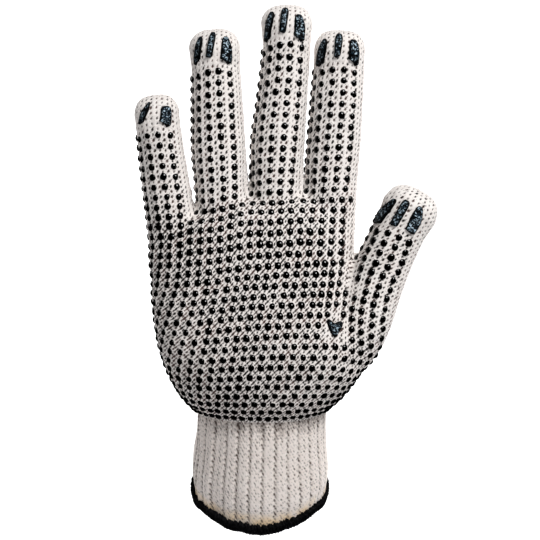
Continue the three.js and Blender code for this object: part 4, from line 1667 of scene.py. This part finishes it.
STRIPES = {
    "little_finger": (Stripe("outer", (-2.0, 3.8), (-7.0, 13.0), (0.8, 3.4, 2.6), -0.4),
                      Stripe("inner", (4.6, 6.2), (3.4, 14.6), (3.6, 5.0, 5.2), 2.6)),
    "ring_finger": (Stripe("outer", (-5.4, 4.2), (-7.9, 15.6), (1.6, 3.0, 3.0), -2.0),
                    Stripe("centre", (0.1, 2.6), (-2.6, 14.0), (2.4, 3.2, 3.0), 0.2),
                    Stripe("inner", (5.2, 4.8), (4.8, 16.2), (2.0, 4.8, 5.3), 2.1)),
    "middle_finger": (Stripe("outer", (-6.4, 4.4), (-8.6, 16.9), (2.0, 3.0, 2.6), -1.6),
                      Stripe("centre", (-0.7, 2.9), (-2.0, 14.0), (3.2, 3.4, 3.0), 0.3),
                      Stripe("inner", (5.0, 5.6), (5.4, 16.6), (2.6, 4.8, 4.8), 2.2)),
    "index_finger": (Stripe("outer", (-6.8, 5.2), (-8.8, 17.0), (1.6, 3.6, 3.3), -1.0),
                     Stripe("centre", (-0.8, 2.9), (-1.5, 13.7), (3.0, 3.4, 2.8), -0.7),
                     Stripe("inner", (5.2, 5.2), (5.8, 15.8), (2.6, 4.6, 4.6), 2.6)),
    "thumb": (Stripe("outer", (-8.4, 10.6), (-11.0, 23.8), (1.6, 3.8, 3.4), -0.6),
              Stripe("centre", (-3.7, 8.8), (-4.1, 21.8), (3.2, 3.8, 3.7), -0.3),
              Stripe("inner", (2.6, 8.6), (3.6, 21.2), (2.4, 5.6, 4.8), 0.4)),
}
# How strongly each stripe shows its painted reflection and painted highlight
PAINTED_GLEAM = {"outer": 0.55, "centre": 0.85, "inner": 1.3}


@dataclass
class GripPads:
    """The moulded stripes of the fingertips and the heart in the crotch of the thumb."""
    form: GloveForm
    thickness: float = 0.95
    rough: float = 0.16
    columns: int = 13
    rows: int = 44
    heart: Pair = (33.6, 75.4)

    def pad(self, name: str, node: str, outline: np.ndarray, owner: str | None, rubber: bpy.types.Material,
            painted_gleam: float = 1.0) -> None:
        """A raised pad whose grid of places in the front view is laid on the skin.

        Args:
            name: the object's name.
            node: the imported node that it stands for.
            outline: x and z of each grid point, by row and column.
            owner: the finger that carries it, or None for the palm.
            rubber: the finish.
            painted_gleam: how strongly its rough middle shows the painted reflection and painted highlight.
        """
        rows, columns = outline.shape[:2]
        quads = grid_quads(np.arange(rows * columns).reshape(rows, columns), True)
        flat = np.array([self.form.facing(x, z, -1, owner, 12.0) for x, z in outline.reshape(-1, 2)])
        normals = point_normals(flat, quads)
        if normals[:, 1].mean() > 0:
            normals, quads = -normals, quads[:, ::-1]
        r, c = np.meshgrid(np.linspace(-1, 1, rows), np.linspace(-1, 1, columns), indexing="ij")
        half = max(np.linalg.norm(outline[rows // 2, 0] - outline[rows // 2, -1]) / 2, 0.8)
        tall = max(np.linalg.norm(outline[0, columns // 2] - outline[-1, columns // 2]) / 2, 0.8)
        inward = np.minimum((1 - np.abs(c)) * half, (1 - np.abs(r)) * tall).ravel()
        profile = np.sqrt(np.clip(1 - (1 - np.clip(inward / 0.75, 0, 1)) ** 2, 0, 1))
        inside = smooth_step(0.45, 1.0, inward)
        crumb = (soft_noise(flat, 0.75, 21) + soft_noise(flat, 1.6, 22) * 0.8) * self.rough
        lift = 0.1 + self.thickness * profile - inside * 0.28 + crumb * (0.25 + inside)
        top = flat + normals * lift[:, None]
        under = flat - normals * 0.9
        first = len(flat)
        upper = quads.tolist()
        faces = [tuple(f) for f in upper] + [tuple(first + k for k in f[::-1]) for f in upper]
        edges = {edge for face in upper for edge in zip(face, face[1:] + face[:1])}
        faces += [(q, p, first + p, first + q) for p, q in sorted(edges) if (q, p) not in edges]
        # inside carries how strongly the painted reflection and painted highlight show
        made = mesh_object(name, np.vstack([top, under]), faces,
                           {"inside": np.concatenate([inside * painted_gleam, np.zeros(first)])}, rubber)
        place_piece(made, (node,))

    def stripe_outline(self, finger: FingerSurface, stripe: Stripe) -> np.ndarray:
        """The grid of a stripe in the front view, with rounded ends."""
        s = np.linspace(0, 1, self.rows)
        w0, w1, w2 = stripe.widths
        width = spline(np.array([[w0], [w1 * 0.5 + w0 * 0.5 + 0.35], [w1], [w1 * 0.5 + w2 * 0.5], [w2]], float), 20)
        width = np.interp(s, np.linspace(0, 1, len(width)), width[:, 0]) / 2
        tall = math.dist(stripe.top, stripe.foot)
        end = 0.9
        width = width * np.sqrt(np.clip(1 - np.clip(1 - s * tall / (end * 1.6), 0, 1) ** 2, 0.03, 1))
        width = width * np.sqrt(np.clip(1 - np.clip(1 - (1 - s) * tall / end, 0, 1) ** 2, 0.10, 1))
        bow = 0.5 * np.sin(math.pi * s) * (-1 if stripe.name == "outer" else 1 if stripe.name == "inner" else 0)
        grid = np.zeros((self.rows, self.columns, 2))
        for k, c in enumerate(np.linspace(-1, 1, self.columns)):
            sideways = stripe.top[0] + (stripe.foot[0] - stripe.top[0]) * s + bow + width * c
            below = stripe.top[1] + (stripe.foot[1] - stripe.top[1]) * s + stripe.slant / 2 * c * s ** 3
            place = finger.tip + sideways[:, None] * finger.across - below[:, None] * finger.along
            grid[:, k] = place[:, [0, 2]]
        return grid

    def heart_outline(self) -> np.ndarray:
        """The grid of the heart: two pointed lobes over a tip, slightly leaning."""
        s = np.linspace(0, 1, self.rows)
        grid = np.zeros((self.rows, self.columns, 2))
        left = np.interp(s, [0, 0.12, 0.3, 0.55, 0.8, 1], [-2.9, -3.55, -3.15, -2.45, -1.3, 0.15])
        right = np.interp(s, [0, 0.12, 0.3, 0.55, 0.8, 1], [3.3, 4.05, 3.7, 2.75, 1.5, 0.45])
        for k, c in enumerate(np.linspace(0, 1, self.columns)):
            notch = 1.35 * np.exp(-((c - 0.47) / 0.22) ** 2)
            x = left + (right - left) * c
            z = 3.9 - notch * (1 - s) ** 1.5 - 8.1 * s + (0.2 - 1.2 * c) * (1 - s)
            grid[:, k] = np.stack([self.heart[0] + x, self.heart[1] + z], axis=1)
        return grid

    def build(self, rubber: bpy.types.Material) -> None:
        """Builds all pads.

        Args:
            rubber: the finish.
        """
        for finger, stripes in STRIPES.items():
            for stripe in stripes:
                node = f"{finger}_stripe_{stripe.name}"
                self.pad(node + "_pad", node, self.stripe_outline(self.form.fingers[finger], stripe), finger, rubber,
                         PAINTED_GLEAM[stripe.name])
        self.pad("heart_grip_pad", "heart_pad", self.heart_outline(), None, rubber)


@dataclass
class Studio:
    """Floor, backdrop, lights and camera."""
    camera_at: Triple = (0.00496, -0.616, 0.1048)
    lens: float = 85.0
    floor_z: float = -0.26
    wall_y: float = 0.9

    def build(self) -> None:
        """Sets up the studio."""
        self.backdrop()
        self.camera()
        self.lights()

    def backdrop(self) -> None:
        """A pale floor that sweeps up into a pale wall."""
        profile = [(-1.6, self.floor_z)]
        radius = 0.35
        for k in range(13):
            angle = math.pi / 2 * k / 12
            profile.append((self.wall_y - radius + radius * math.sin(angle),
                            self.floor_z + radius - radius * math.cos(angle)))
        profile.append((self.wall_y, 2.2))
        mesh = bpy.data.meshes.new("backdrop")
        points = [(x, y, z) for y, z in profile for x in (-2.4, 2.4)]
        mesh.from_pydata(points, [], [(2 * k, 2 * k + 1, 2 * k + 3, 2 * k + 2) for k in range(len(profile) - 1)])
        mesh.polygons.foreach_set("use_smooth", np.ones(len(mesh.polygons), bool))
        paint = Paint("pale_paper")
        split = paint.node("ShaderNodeSeparateXYZ", inputs={0: paint.where})
        rear = paint.ramp(Value(paint, split.outputs[1]), 0.1, 0.55)
        mesh.materials.append(paint.finish(base_color=paint.blend(rear, (0.62, 0.62, 0.63), (0.95, 0.95, 0.95)),
                                           roughness=0.9))
        made = add_object("backdrop", mesh)
        made.visible_glossy = False

    def camera(self) -> None:
        """The camera, level and square to the palm."""
        data = bpy.data.cameras.new("camera")
        data.lens = self.lens
        data.sensor_width = 36.0
        data.clip_start, data.clip_end = 0.01, 20.0
        made = add_object("camera", data)
        made.location = self.camera_at
        made.rotation_euler = (math.pi / 2, 0.0, 0.0)
        bpy.context.scene.camera = made

    def lamp(self, name: str, place: Triple, aim: Triple, size: float,
             power: float, mirrored: bool = True) -> None:
        """A square soft light.

        Args:
            name: its name.
            place: where it stands.
            aim: the point it faces.
            size: its side, in metres.
            power: in watts.
            mirrored: whether glossy surfaces show it.
        """
        data = bpy.data.lights.new(name, "AREA")
        data.size = size
        data.energy = power
        made = add_object(name, data)
        made.visible_camera = False
        made.visible_glossy = mirrored
        made.location = place
        made.rotation_euler = (Vector(aim) - Vector(place)).to_track_quat("-Z", "Y").to_euler()

    def lights(self) -> None:
        """Key from the upper right in front, a weak fill from the left, and pale light all round."""
        self.lamp("key", (0.50, -0.86, 0.86), (0.0, 0.0, 0.10), 0.46, 13.7)
        self.lamp("fill", (-0.6, -0.95, -0.08), (0.0, 0.0, 0.06), 0.6, 1.75, False)
        self.lamp("paper_left", (-0.62, 0.34, 0.45), (-0.28, 0.9, 0.10), 0.5, 7.4)
        self.lamp("paper_right", (0.62, 0.34, 0.45), (0.28, 0.9, 0.10), 0.5, 7.4)
        world = bpy.data.worlds.new("studio")
        world.use_nodes = True
        background = world.node_tree.nodes["Background"]
        background.inputs[0].default_value = (0.95, 0.97, 1.0, 1.0)
        background.inputs[1].default_value = 0.10
        world.cycles_visibility.glossy = False
        bpy.context.scene.world = world
        bpy.context.scene.view_settings.view_transform = "Standard"
        bpy.context.scene.view_settings.gamma = 0.92


def main() -> None:
    """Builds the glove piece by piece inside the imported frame."""
    logging.basicConfig(level=logging.INFO, format="%(name)s: %(message)s")
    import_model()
    Studio().build()
    form = GloveForm()
    net = StitchNet(form)
    LOG.info("net of %d points", len(net.net))
    HandKnit(net).build(YarnFinish().material())
    RibCuff().build(RibFinish().material())
    OverlockHem().build(HemFinish().material())
    GripDrops(net).build(DotFinish().material())
    GripPads(form).build(StripeFinish().material())
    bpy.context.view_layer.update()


if __name__ == "__main__":
    main()
